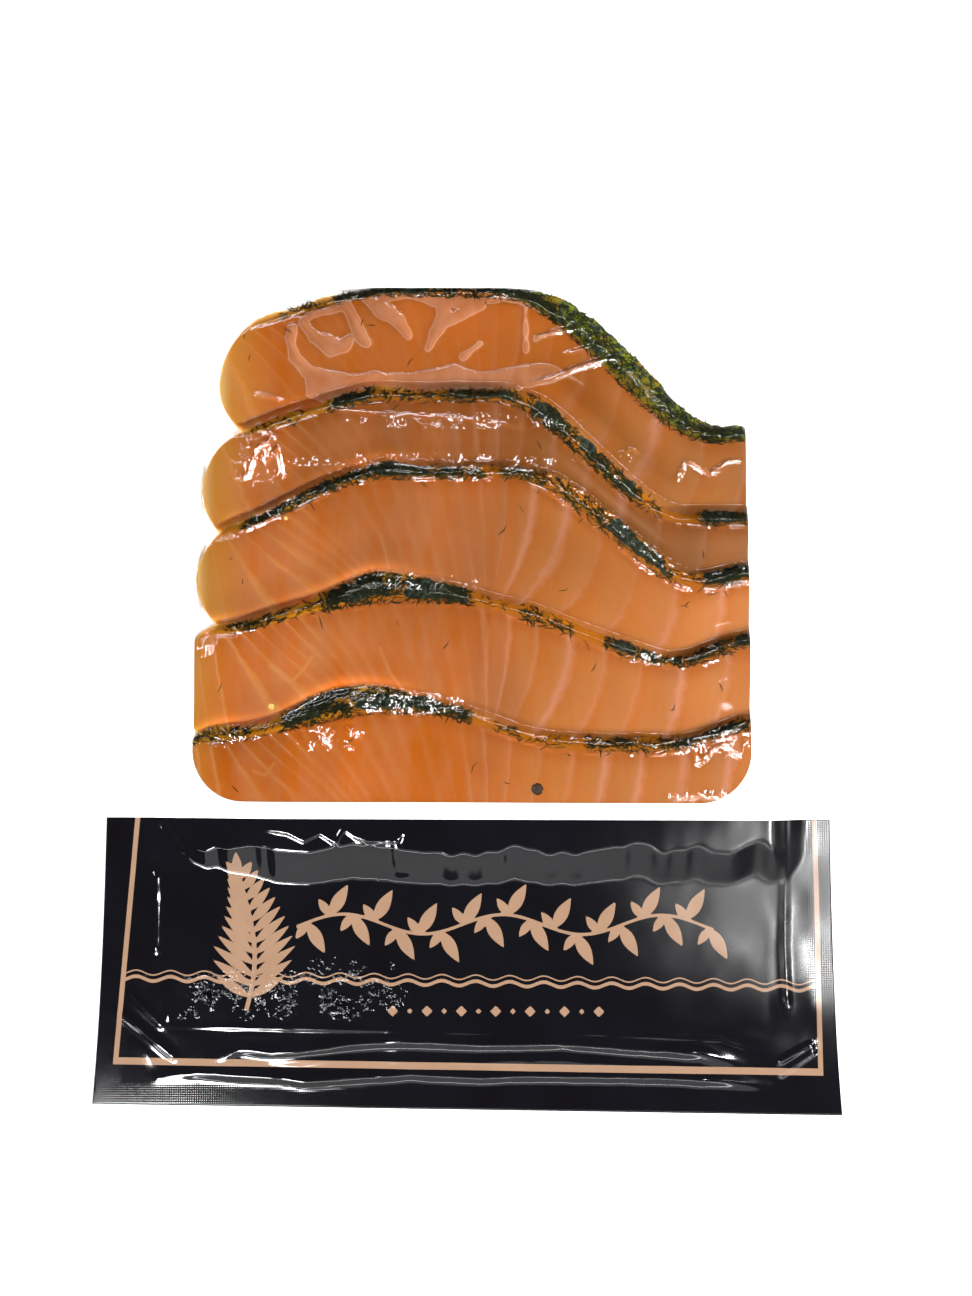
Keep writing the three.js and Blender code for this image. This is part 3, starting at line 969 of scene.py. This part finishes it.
def edge_needles(material):
    draw = np.random.RandomState(7)
    per_area = 4.6
    places, angles = [], []
    for s, stretches in zip(SLICES, DILL_STRETCHES):
        for start, end, amount in stretches:
            width = float(np.mean(bevel(s, np.linspace(start, end, 9))))
            count = int((end - start) * (width + 1) * amount ** 1.2 * per_area)
            x = draw.uniform(start - 0.6, end + 0.6, count)
            t = np.clip(draw.normal(0.45, 0.3, count), -0.5 / width, 1 - 0.3 / width)
            slope = (shoulder(s, x + 1) - shoulder(s, x - 1)) / 2
            places.append(np.stack([x, shoulder(s, x) + bevel(s, x) * t], -1))
            angles.append(np.arctan(slope) + draw.normal(0, 0.75, count))
    places, angles = np.concatenate(places), np.concatenate(angles)
    keep = in_window(places[:, 0], places[:, 1], 0.4)
    places, angles = places[keep], angles[keep]
    count = len(places)
    z = top_face(places[:, 0], places[:, 1]) + draw.uniform(-0.05, 0.12, count)
    z = np.where(z < BASE + 0.2, BASE + 0.1, z)
    centres = np.concatenate([places, z[:, None]], axis=1)
    return needles("dill_on_edges", centres, angles, draw.uniform(0.9, 3.2, count),
                   draw.uniform(0.13, 0.25, count), draw.normal(0, 0.12, count),
                   draw.normal(0, 0.2, count), material)


def loose_needles(material):
    draw = np.random.RandomState(11)
    tries = 420
    x = draw.uniform(-70, 73, tries)
    y = draw.uniform(-40, 96, tries)
    near = np.full(tries, 99.0)
    for s in SLICES:
        away = shoulder(s, x) - y
        near = np.minimum(near, np.where(away > 0, away, 99.0))
    chance = 0.55 * np.exp(-near / 4.0) + 0.06
    keep = (draw.uniform(0, 1, tries) < chance) & in_window(x, y, 2) & (heap_height(x, y) > 1.0)
    x, y = x[keep], y[keep]
    count = len(x)
    return needles("dill_loose", points(x, y, top_face(x, y) + 0.06),
                   draw.uniform(0, math.pi, count), draw.uniform(1.2, 3.6, count),
                   draw.uniform(0.13, 0.2, count), draw.normal(0, 0.05, count),
                   draw.normal(0, 0.25, count), material)


def round_spice(name, x, y, radius, dent, material):
    """A round seed, a little uneven, that is pressed into the slice under it."""
    rings, sides = 24, 32
    polar = np.linspace(0.06, math.pi - 0.06, rings)[None, :]
    turn = np.linspace(0, 2 * math.pi, sides, endpoint=False)[:, None]
    r = radius * (1 + dent * (noise(turn * 4 + polar * 3, polar * 5 + 0 * turn, 1.1, 5) - 0.5))
    z = float(top_face(np.array([x]), np.array([y]))[0]) + 0.05
    skin = np.stack([x + r * np.sin(polar) * np.cos(turn), y + r * np.sin(polar) * np.sin(turn),
                     z + 0.45 * r * np.cos(polar)], -1)
    poles = [skin[:, 0].mean(0), skin[:, -1].mean(0)]
    count = sides * rings
    side = np.arange(sides)
    after = (side + 1) % sides
    top = np.stack([side * rings, after * rings, np.full(sides, count)], 1)
    low = np.stack([after * rings + rings - 1, side * rings + rings - 1, np.full(sides, count + 1)], 1)
    quads = grid_quads(sides, rings, wrap=True, flip=True)
    triangles = np.concatenate([quads[:, [0, 1, 2]], quads[:, [0, 2, 3]], top, low])
    piece = make_mesh(name, np.concatenate([skin.reshape(-1, 3), poles]), triangles)
    return carry(piece, slot="dill", material=material)


# The clear film

# Places where the clear film is crumpled: centre, half widths, height and how fine the folds are
CRUMPLES = [
    ((-57, 50), (8, 8), 0.1, 1.9), ((-3, 61), (34, 2.2), 0.14, 1.3),
    ((-12, 50), (40, 2.2), 0.2, 1.3), ((-37, -25.5), (10, 3.4), 0.4, 1.5),
    ((-17, -15.8), (15, 3.0), 0.36, 1.4), ((64, -27), (12, 3.4), 0.14, 1.6),
    ((44, 52.5), (3.5, 2), 0.2, 1.6), ((52, -3.5), (9, 2.0), 0.2, 1.3),
    ((-14, 17), (18, 2.4), 0.2, 1.4), ((-71, 0), (2.5, 4), 0.2, 1.6),
    ((64, -40.5), (13, 1.4), 0.24, 1.5),
]
# Fine ridges run along both sides of each slice's dill: the ridges' height on each slice, and
# where the two lines lie, as a share of the bevel from the shoulder towards the near side
RIDGE_HEIGHTS = (0.08, 0.16, 0.30, 0.12, 0.16)
RIDGE_LINES = (0.25, -0.95)
# Single folds of the clear film: places, height and half width
WINDOW_FOLDS = [
    ([(-63.9, 45), (-59.8, 45.9), (-57.5, 53.3), (-54.6, 55.8)], 0.42, 0.5),
    ([(-54.6, 55.8), (-55.4, 49.2), (-52.1, 53.4), (-50.8, 45.9), (-48.3, 45.9)], 0.42, 0.5),
    ([(-58, 59.2), (-53, 56.3), (-57.5, 53.3)], 0.3, 0.6),
    ([(-59.4, 69.2), (-50.7, 66.7)], 0.3, 0.6),
    ([(56.2, 44.7), (59.3, 50.4), (65.4, 46.9), (70.6, 50.5), (75, 50.5)], 0.42, 0.5),
    ([(42.2, 52.1), (44, 54), (46.1, 52.6)], 0.3, 0.6),
    ([(60.1, -28.4), (60.9, -31.8), (67.8, -26.7), (72.9, -30.9)], 0.42, 0.5),
    ([(45.5, -27.6), (55.8, -25.8), (66.1, -24.1), (74.7, -20.6)], 0.3, 0.6),
    ([(48, -29.6), (58, -27.6), (70, -24.6)], 0.22, 0.5),
    ([(54.4, -41.3), (60, -39.9), (64.7, -40.6), (69, -39.6)], 0.3, 0.6),
    ([(15.9, 71.8), (22.5, 73.4), (29.5, 76.1), (38.3, 79)], 0.3, 0.7),
    ([(18.1, 84.6), (28.7, 87.3)], 0.2, 0.6), ([(24, 79.5), (36, 83)], 0.22, 0.6),
    ([(15.4, 96), (15.2, 84), (14.4, 70), (13.2, 55), (9.5, 30), (5, 0), (2, -20)], 0.09, 0.45),
    ([(-40, 64.2), (-33, 63.4), (-20, 62.6), (-6, 61.8), (8, 60.2), (16, 58.4)], 0.26, 0.8),
]


def crumple_places(x, y):
    """Each crumpled place with how deep inside it every vertex lies, from 0 to 1."""
    for (cx, cy), (rx, ry), height, scale in CRUMPLES:
        inside = np.exp(-(((x - cx) / rx) ** 2 + ((y - cy) / ry) ** 2) ** 1.5)
        yield int(cx), int(cy), height, scale, inside


def from_edge(s, x, y, line):
    """Distance from a line along a slice's dill edge, at a share of its bevel."""
    return y - shoulder(s, x) + line * bevel(s, x)


def ridges(x, y, half, low, high):
    """The fine ridges along the dill edges, with gaps where noise is below low to high."""
    for i, s in enumerate(SLICES):
        broken = between(low, high, noise(x, y, 1.9, 44 + i)) * between(-66, -58, x)
        for line in RIDGE_LINES:
            yield RIDGE_HEIGHTS[i] * np.exp(-(from_edge(s, x, y, line) / half) ** 2) * broken


def window_film(x, y):
    """Height of the clear film: it lies on the slices, with crumples and long creases."""
    z = bare_film(x, y) + 0.10 * (noise(x, y, 14, 3) - 0.5)
    for cx, _, height, scale, inside in crumple_places(x, y):
        z = z + height * inside * (creases(x, y, scale, cx + 200) - 0.3)
    for i, s in enumerate(SLICES):
        band = 0.24 * dill_density(i, x) * np.exp(-(from_edge(s, x, y, -0.4) / 2.2) ** 2)
        z = z + band * (creases(x + 0.7 * y, y, 1.5, 40 + i) - 0.35)
    z = z + sum(ridges(x, y, 0.55, 0.3, 0.6))
    z = z + 0.24 * between(0.5, -0.7, lifted_film(x, y)) * (heap_height(x, y) > 0.5)
    for places, height, width in WINDOW_FOLDS:
        z = z + fold(x, y, places, height, width) * (0.55 + 0.9 * noise(x, y, 1.8, 77))
    return z


def crumpled(x, y):
    """How finely the clear film is crumpled, from 0 to 1."""
    amount = np.zeros_like(x)
    for _, _, height, _, inside in crumple_places(x, y):
        amount = np.maximum(amount, 1.4 * height * inside)
    for i, s in enumerate(SLICES):
        lying = 0.25 * dill_density(i, x)
        amount = np.maximum(amount, lying * np.exp(-(from_edge(s, x, y, -0.4) / 2.4) ** 2))
        for line in RIDGE_LINES:
            ridge = np.exp(-from_edge(s, x, y, line) ** 2)
            amount = np.maximum(amount, 2.2 * RIDGE_HEIGHTS[i] * ridge)
    for places, height, width in WINDOW_FOLDS:
        amount = np.maximum(amount, fold(x, y, places, 1.6 * height, width * 1.8))
    return np.clip(amount, 0, 1)


def crackled(x, y):
    """Patches of fine sharp wrinkles in the clear film, from 0 to 1."""
    amount = np.zeros_like(x)
    for cx, cy, height, _, inside in crumple_places(x, y):
        bent = 3.0 * noise(x, y, 3.1, cx + 310)
        across, along = 0.8 * x + 0.6 * y + bent, 0.8 * y - 0.6 * x + bent
        uneven = between(0.4, 0.7, noise(across, along, 1.9, cy + 300))
        amount = np.maximum(amount, min(1.0, 2.6 * height) * between(0.15, 0.6, inside) * uneven)
    return np.clip(amount, 0, 1)


def folded(x, y):
    """Where the clear film is doubled up in sharp folds, from 0 to 1: it mirrors more there."""
    amount = np.zeros_like(x)
    for ridge in ridges(x, y, 0.5, 0.45, 0.65):
        amount = np.maximum(amount, ridge / max(RIDGE_HEIGHTS))
    broken = between(0.34, 0.52, noise(x, y, 1.5, 79))
    for places, height, width in WINDOW_FOLDS:
        amount = np.maximum(amount, fold(x, y, places, height / 0.42, width) * broken)
    return np.clip(amount, 0, 1)


# The printed film and the label

# Folds of the black band: places, height and half width
LABEL_FOLDS = [
    ([(-57.6, -48.7), (-47.9, -50.2), (-43.7, -52.3), (-39.4, -50.2), (-35.1, -52.8), (-33, -49.1),
      (-29.8, -51.2), (-26.6, -52.3), (-19.1, -52.3), (-16, -49.1)], 0.34, 0.75),
    ([(-19.5, -46.9), (-17.5, -63)], 0.4, 1.9),
    ([(-79.5, -102.2), (-39.4, -102.8), (3.4, -103.7), (35.5, -103.9), (67.6, -105.4), (79, -109)],
     0.2, 0.55),
    ([(-68.2, -111.2), (-60.8, -108.2), (-52.2, -109.1), (-43.7, -108.5), (-30.8, -106.6),
      (-18, -105.8), (3.4, -106.6), (24.8, -106.2), (46.2, -107.7), (62.3, -108.7), (73, -111.8)],
     0.6, 1.5),
    ([(-82.2, -115.6), (-71.5, -114.5), (-50.1, -115.5), (-43.6, -116.5), (-28.7, -115.4),
      (-15, -114.4), (3.5, -115.3), (14.2, -114.7), (51.6, -115.1), (68, -116), (80, -117.5)],
     0.62, 1.4),
    ([(-60, -112), (-35, -111), (-10, -111.6), (20, -110.6), (50, -112)], 0.16, 1.0),
    ([(-84, -60), (-83.8, -75), (-83.6, -84)], 0.5, 1.1),
    ([(-81, -80), (-79.9, -101.7)], 0.3, 0.9),
    ([(-88, -55), (-87, -75), (-86, -90)], 0.3, 1.1),
    ([(-91.5, -92.5), (-80.8, -102.9)], 0.35, 1.0),
    ([(-94.5, -97.5), (-86, -104), (-76.9, -111.4)], 0.4, 1.2),
    ([(82.7, -111.3), (92.9, -106)], 0.4, 0.9),
    ([(82.7, -115), (93.5, -107.6)], 0.35, 0.9),
    ([(85.5, -58), (85, -80), (85.6, -98)], 0.45, 1.1),
]
# The free edge of the printed film is turned down to this height, and the back film is this thick
TURNED_TO = 0.2
BACK_THICK = 0.22


def white_film(x, y):
    """Height of the printed film beside the window, with the soft folds of its side walls."""
    z = bare_film(x, y)
    off_card = outside(CARD, x, y)
    beside = between(-2, 3, off_card) * (1 - between(9, 13, off_card))
    z = z + 0.35 * beside * (noise(x, y, 7, 21) - 0.45)
    wall = between(0.5, 4, outside(WINDOW, x, y)) * (1 - between(-3, 1, off_card))
    z = z + 0.16 * wall * (noise(x, y, 9, 22) - 0.5)
    ends = between(125, 95, y) * between(-62, -44, y)
    for side in (-1, 1):
        line = CARD["x"] + side * (CARD["width"] / 2 + 3.5) + 0.8 * np.sin(y / 17 + side)
        z = z + 0.45 * np.exp(-((x - line) / 1.1) ** 2) * ends
    return z


def label_sparkle(x, y):
    """Where the black film is finely crumpled over the card, from 0 to 1."""
    flat = between(-1, -8, outside(CARD, x, y)) * between(-84, -97, y - 0.12 * (x + 60))
    return 1.4 * flat * between(-6, -38, x) * between(0.2, 0.75, noise(x, y, 3.6, 66))


def label_film(x, y):
    """Height of the black band's film: over the heap's foot, along the card, down to the seal."""
    drop = between(-72, -57, y)
    sway = 4.6 * (noise(x, 0 * x, 8, 61) - 0.5) + 1.6 * (noise(x, 0 * x, 3.3, 62) - 0.5)
    z = white_film(x, y + sway * drop)
    facet = between(-66, -61, y) * between(-53, -57, y)
    z = z + 0.015 * facet * (noise(x, y * 0.3, 9, 63) - 0.5)
    z = z + 0.04 * label_sparkle(x, y) * noise(x, y, 1.5, 65)
    for places, height, width in LABEL_FOLDS:
        z = z + fold(x, y, places, height, width) * (0.85 + 0.3 * noise(x, y, 3.0, 78))
    return z


def half_width(y):
    """Half the pouch's width, which is a little less half way along."""
    middle = 1 - (2 * (y / POUCH["height"] + 0.5) - 1) ** 4
    return POUCH["width"] / 2 - POUCH["waist"] * middle


def near_end(x):
    """The pouch's near edge, which is cut askew."""
    share = np.clip(0.5 - x / POUCH["width"], 0, 1)
    return -POUCH["height"] / 2 + POUCH["slant"] * share


def in_window_frame(angle, r):
    """The place at a distance from the window's middle, at an angle."""
    return WINDOW["x"] + r * np.cos(angle), WINDOW["y"] + r * np.sin(angle)


def reach(angle, beyond):
    """How far out from the window's middle each angle goes before it is beyond an outline."""
    low, high = np.zeros_like(angle), np.full_like(angle, 300.0)
    for _ in range(40):
        mid = (low + high) / 2
        out = beyond(*in_window_frame(angle, mid))
        high = np.where(out, mid, high)
        low = np.where(out, low, mid)
    return low


def beyond_window(x, y):
    return outside(WINDOW, x, y) > 0


def beyond_white(x, y):
    """Beyond the white film: past the pouch's sides or far end, or on the black band."""
    far = POUCH["height"] / 2
    return (y > far) | (y < BAND_TOP) | (np.abs(x) > half_width(np.clip(y, -far, far)))


def angles_round():
    """Evenly spread angles with the white film's outer corners among them."""
    turn = np.linspace(-math.pi, math.pi, 640, endpoint=False)
    corners = [(sx * half_width(y), y) for sx in (-1, 1) for y in (POUCH["height"] / 2, BAND_TOP)]
    exact = [math.atan2(y - WINDOW["y"], x - WINDOW["x"]) for x, y in corners]
    return np.sort(np.concatenate([turn, exact]))


def white_piece(material):
    """The printed film round the window, turned down at its sides, with a lip under the window."""
    angle = angles_round()
    inner, outer = reach(angle, beyond_window), reach(angle, beyond_white)
    share = np.linspace(0, 1, 46)[None, :]
    x, y = in_window_frame(angle[:, None], inner[:, None] + (outer - inner)[:, None] * share)
    z = white_film(x, y)
    rim = between(6, 0, outside(WINDOW, x, y))
    z = z * (1 - rim) + window_film(x, y) * rim
    near_band = between(BAND_TOP + 3, BAND_TOP, y)
    z = z * (1 - near_band) + label_film(x, y) * near_band
    turned = np.where(y[:, -1:] > BAND_TOP + 0.1, TURNED_TO, z[:, -1:])
    x, y = (np.concatenate([a, a[:, -1:]], axis=1) for a in (x, y))
    z = np.concatenate([z, turned], axis=1)
    vertices = points(x, y, z)
    quads = grid_quads(*x.shape, wrap=True, flip=True)
    top = np.stack([x[:, 0], y[:, 0], z[:, 0]], -1)
    drop = top[:, 2] - BASE + GAP
    inward = np.minimum((0.6 + 0.7 * between(-0.75, -0.9, np.cos(angle))) * drop, 2.0)
    foot = top - np.stack([inward * np.cos(angle), inward * np.sin(angle), drop], -1)
    lip = grid_quads(len(top), 2, wrap=True, start=len(vertices), flip=True)
    vertices = np.concatenate([vertices, np.stack([foot, top], 1).reshape(-1, 3)])
    quads = np.concatenate([quads, lip])
    piece = make_mesh("printed_film", vertices, with_area(vertices, quads))
    return carry(piece, "pouch", slot="printed_film", material=material)


def window_piece(material):
    """The clear film over the window: a grid pressed into its outline, finer near both sides."""
    columns, rows = 258, 380
    spread = np.linspace(-1, 1, 2001)
    crowd = 0.8 + 0.9 * between(-0.56, -0.68, spread) + 0.9 * between(0.54, 0.66, spread)
    reached = np.concatenate([[0], np.cumsum((crowd[1:] + crowd[:-1]) / 2)])
    across = np.interp(np.linspace(0, reached[-1], columns), reached, spread)
    u, v = np.meshgrid(across, np.linspace(-1, 1, rows), indexing="ij")
    x, y = u * WINDOW["width"] / 2, v * WINDOW["height"] / 2
    size = np.maximum(np.abs(u), np.abs(v))
    rim = reach(np.arctan2(y, x), beyond_window)
    square = np.hypot(x, y) / np.maximum(size, 1e-6)
    pull = 1 - (1 - rim / np.maximum(square, 1e-6)) * between(0.75, 1.0, size)
    x, y = WINDOW["x"] + x * pull, WINDOW["y"] + y * pull
    values = dict(crumple=crumpled(x, y), patch=crackled(x, y), folded=folded(x, y),
                  bare=between(0.4, 0.1, heap_height(x, y)))
    quads = grid_quads(columns, rows)
    piece = make_mesh("window_film", points(x, y, window_film(x, y)), quads, values)
    return carry(piece, slot="clear_film", material=material)


def leaf(x, y, base, angle, length, width):
    """Signed distance inside an almond-shaped leaf that starts at base."""
    dx, dy = x - base[0], y - base[1]
    along = dx * math.cos(angle) + dy * math.sin(angle)
    aside = -dx * math.sin(angle) + dy * math.cos(angle)
    t = np.clip(along / length, 0, 1)
    half = width / 2 * np.sin(np.pi * t ** 0.85)
    return np.where((along > 0) & (along < length), half - np.abs(aside), -1.0)


# The beige ornament: the sprig's foot and top, the garland's stem and the row of lozenges
SPRIG = dict(foot=-98.0, top=-61.0, x=-60.5, sway=3.4, leaves=12)
GARLAND = dict(y=-75.0, sway=2.6, left=-46.0, right=66.0, pairs=19)
LOZENGES = dict(x=-20.0, y=-98.0, pitch=4.6, count=13)


def sprig_stem(y):
    return SPRIG["x"] + SPRIG["sway"] * np.sin((y - SPRIG["foot"]) / 11.5 + 0.4)


def garland_stem(x):
    return GARLAND["y"] + GARLAND["sway"] * np.sin((x + 44) / 6.8)


def ornament(x, y):
    """Signed distance inside an upright sprig, a garland beside it and a row of lozenges."""
    on_sprig = (y > SPRIG["foot"]) & (y < SPRIG["top"])
    on_garland = (x > GARLAND["left"]) & (x < GARLAND["right"])
    parts = [
        np.where(on_sprig, 0.6 - np.abs(x - sprig_stem(y)), -1.0),
        leaf(x, y, (sprig_stem(SPRIG["top"]), SPRIG["top"] - 1.5), math.pi / 2, 7.0, 2.6),
        np.where(on_garland, 0.42 - np.abs(y - garland_stem(x)), -1.0),
    ]
    for k in range(SPRIG["leaves"]):
        rise = SPRIG["foot"] + 3.5 + k * 2.85
        length = 15.5 - 0.85 * k if k > 1 else 11.0 + 2 * k
        for side in (-1, 1):
            direction = math.pi / 2 - side * (1.02 - 0.035 * k)
            parts.append(leaf(x, y, (sprig_stem(rise), rise), direction, length, 2.5))
    for k in range(GARLAND["pairs"]):
        at = -43 + k * 6.0
        up = 1 if k % 2 else -1
        parts.append(leaf(x, y, (at, garland_stem(at)), up * 1.05, 9.6, 3.5))
        parts.append(leaf(x, y, (at, garland_stem(at)), up * 2.2, 5.6, 2.4))
    for k in range(LOZENGES["count"]):
        away = np.abs(x - LOZENGES["x"] - k * LOZENGES["pitch"]) + np.abs(y - LOZENGES["y"])
        parts.append(0.62 * ((0.8 if k % 2 else 1.5) - away))
    shape = np.full_like(x, -1.0)
    for part in parts:
        shape = np.maximum(shape, part)
    return shape


def label_piece(material):
    """The black band: a grid from its far edge to the seal, with its free edges turned down."""
    columns, rows = 460, 180
    u = np.linspace(0, 1, columns)[:, None]
    v = np.linspace(0, 1, rows)[None, :]
    near = near_end((2 * u - 1) * half_width(BAND_TOP))
    y = near + (BAND_TOP - near) * v
    x = (2 * u - 1) * half_width(y)
    x, y, z = (np.pad(a, ((1, 1), (1, 0)), mode="edge") for a in (x, y, label_film(x, y)))
    z[0], z[-1], z[:, 0] = TURNED_TO, TURNED_TO, TURNED_TO
    side = half_width(y) - np.abs(x)
    cloud = 0.5 + noise(x, y, 13, 91) * 0.6 + noise(x * 2, y, 6, 92) * 0.3
    shine = np.exp(-(((x - 78) / 36) ** 2 + ((y + 68) / 22) ** 2))
    values = dict(
        knurl=np.maximum(between(8.0, 6.6, side), between(6.5, 5.0, y - near_end(x))),
        sparkle=np.clip(label_sparkle(x, y), 0, 1),
        ornament=ornament(x, y),
        haze=np.clip(cloud * shine, 0, 1),
    )
    vertices = points(x, y, z)
    quads = with_area(vertices, grid_quads(columns + 2, rows + 1))
    piece = make_mesh("label_band", vertices, quads, values)
    return carry(piece, slot="printed_film", material=material)


def back_piece(material):
    columns, rows = 61, 81
    u = np.linspace(-1, 1, columns)[:, None]
    v = np.linspace(0, 1, rows)[None, :]
    near = near_end(u * POUCH["width"] / 2)
    y = near + (POUCH["height"] / 2 - near) * v
    low = points(u * half_width(y), y, np.zeros_like(y))
    vertices = np.concatenate([low + (0, 0, BACK_THICK), low])
    piece = make_mesh("back_film", vertices, closed_quads(columns, rows, flip=False))
    return carry(piece, slot="printed_film", material=material)


# Floor, light and camera

def floor():
    mesh = bpy.data.meshes.new("floor")
    mesh.from_pydata([(-3, -3, 0), (3, -3, 0), (3, 3, 0), (-3, 3, 0)], [], [(0, 1, 2, 3)])
    plane = bpy.data.objects.new("floor", mesh)
    bpy.context.scene.collection.objects.link(plane)
    material = Shader("floor").finish_principled(Base_Color=srgb(246, 246, 246), Roughness=0.8)
    plane.data.materials.append(material)


def lamp(name, place, target, width, power, height=None):
    data = bpy.data.lights.new(name, "AREA")
    data.energy = power
    data.shape = "RECTANGLE"
    data.size = width
    data.size_y = height or width
    light = bpy.data.objects.new(name, data)
    light.location = place
    aim = Vector(target) - Vector(place)
    light.rotation_mode = "QUATERNION"
    light.rotation_quaternion = aim.to_track_quat("-Z", "Y")
    bpy.context.scene.collection.objects.link(light)


def world():
    """A sky that is bright round the horizon and dim overhead, as in a room with pale walls."""
    made = bpy.data.worlds.new("soft_sky")
    made.use_nodes = True
    tree = made.node_tree
    place = tree.nodes.new("ShaderNodeTexCoord")
    split = tree.nodes.new("ShaderNodeSeparateXYZ")
    fade = tree.nodes.new("ShaderNodeMapRange")
    tree.links.new(place.outputs["Generated"], split.inputs[0])
    tree.links.new(split.outputs["Z"], fade.inputs[0])
    values = (SKY["low"], SKY["high"], SKY["horizon"], SKY["overhead"])
    for socket, value in zip(list(fade.inputs)[1:5], values):
        socket.default_value = value
    tree.links.new(fade.outputs[0], tree.nodes["Background"].inputs["Strength"])
    bpy.context.scene.world = made


def camera():
    data = bpy.data.cameras.new("camera")
    data.lens = VIEW["lens"]
    data.clip_start = 0.01
    tilt, distance = VIEW["tilt"], VIEW["distance"]
    x, y = VIEW["target"]
    eye = Vector((x, y - distance * math.sin(tilt), distance * math.cos(tilt))) * MM
    made = bpy.data.objects.new("camera", data)
    turn = Matrix.Rotation(tilt, 4, "X") @ Matrix.Rotation(VIEW["roll"], 4, "Z")
    made.matrix_world = Matrix.Translation(eye) @ turn
    bpy.context.scene.collection.objects.link(made)
    bpy.context.scene.camera = made


# Building the pack

flesh = salmon_material()
for index in range(len(SLICES)):
    slice_piece(index, flesh)
edge_needles(needle_material("dill_dark", srgb(20, 26, 18), srgb(58, 60, 30)))
loose_needles(needle_material("dill_brown", srgb(44, 38, 12), srgb(76, 60, 16)))
pepper = spice_material("peppercorn", srgb(12, 7, 4), srgb(46, 26, 12), 900)
mustard = spice_material("mustard", srgb(168, 124, 58), srgb(194, 156, 92), 700)
round_spice("peppercorn", 18.5, -38.6, 1.5, 0.25, pepper)
round_spice("mustard_seed", -52.9, -16.8, 1.0, 0.06, mustard)
round_spice("mustard_seed_small", -49.5, 34.0, 0.6, 0.06, mustard)
white_print = white_print_material()
white_piece(white_print)
label_piece(label_material())
back_piece(white_print)
window_piece(film_material())
card = frame["nodes"]["card"]
card.data.materials.clear()
card.data.materials.append(card_material())

floor()
world()
for entry in LAMPS:
    lamp(*entry)
camera()
bpy.context.scene.view_settings.view_transform = "Standard"
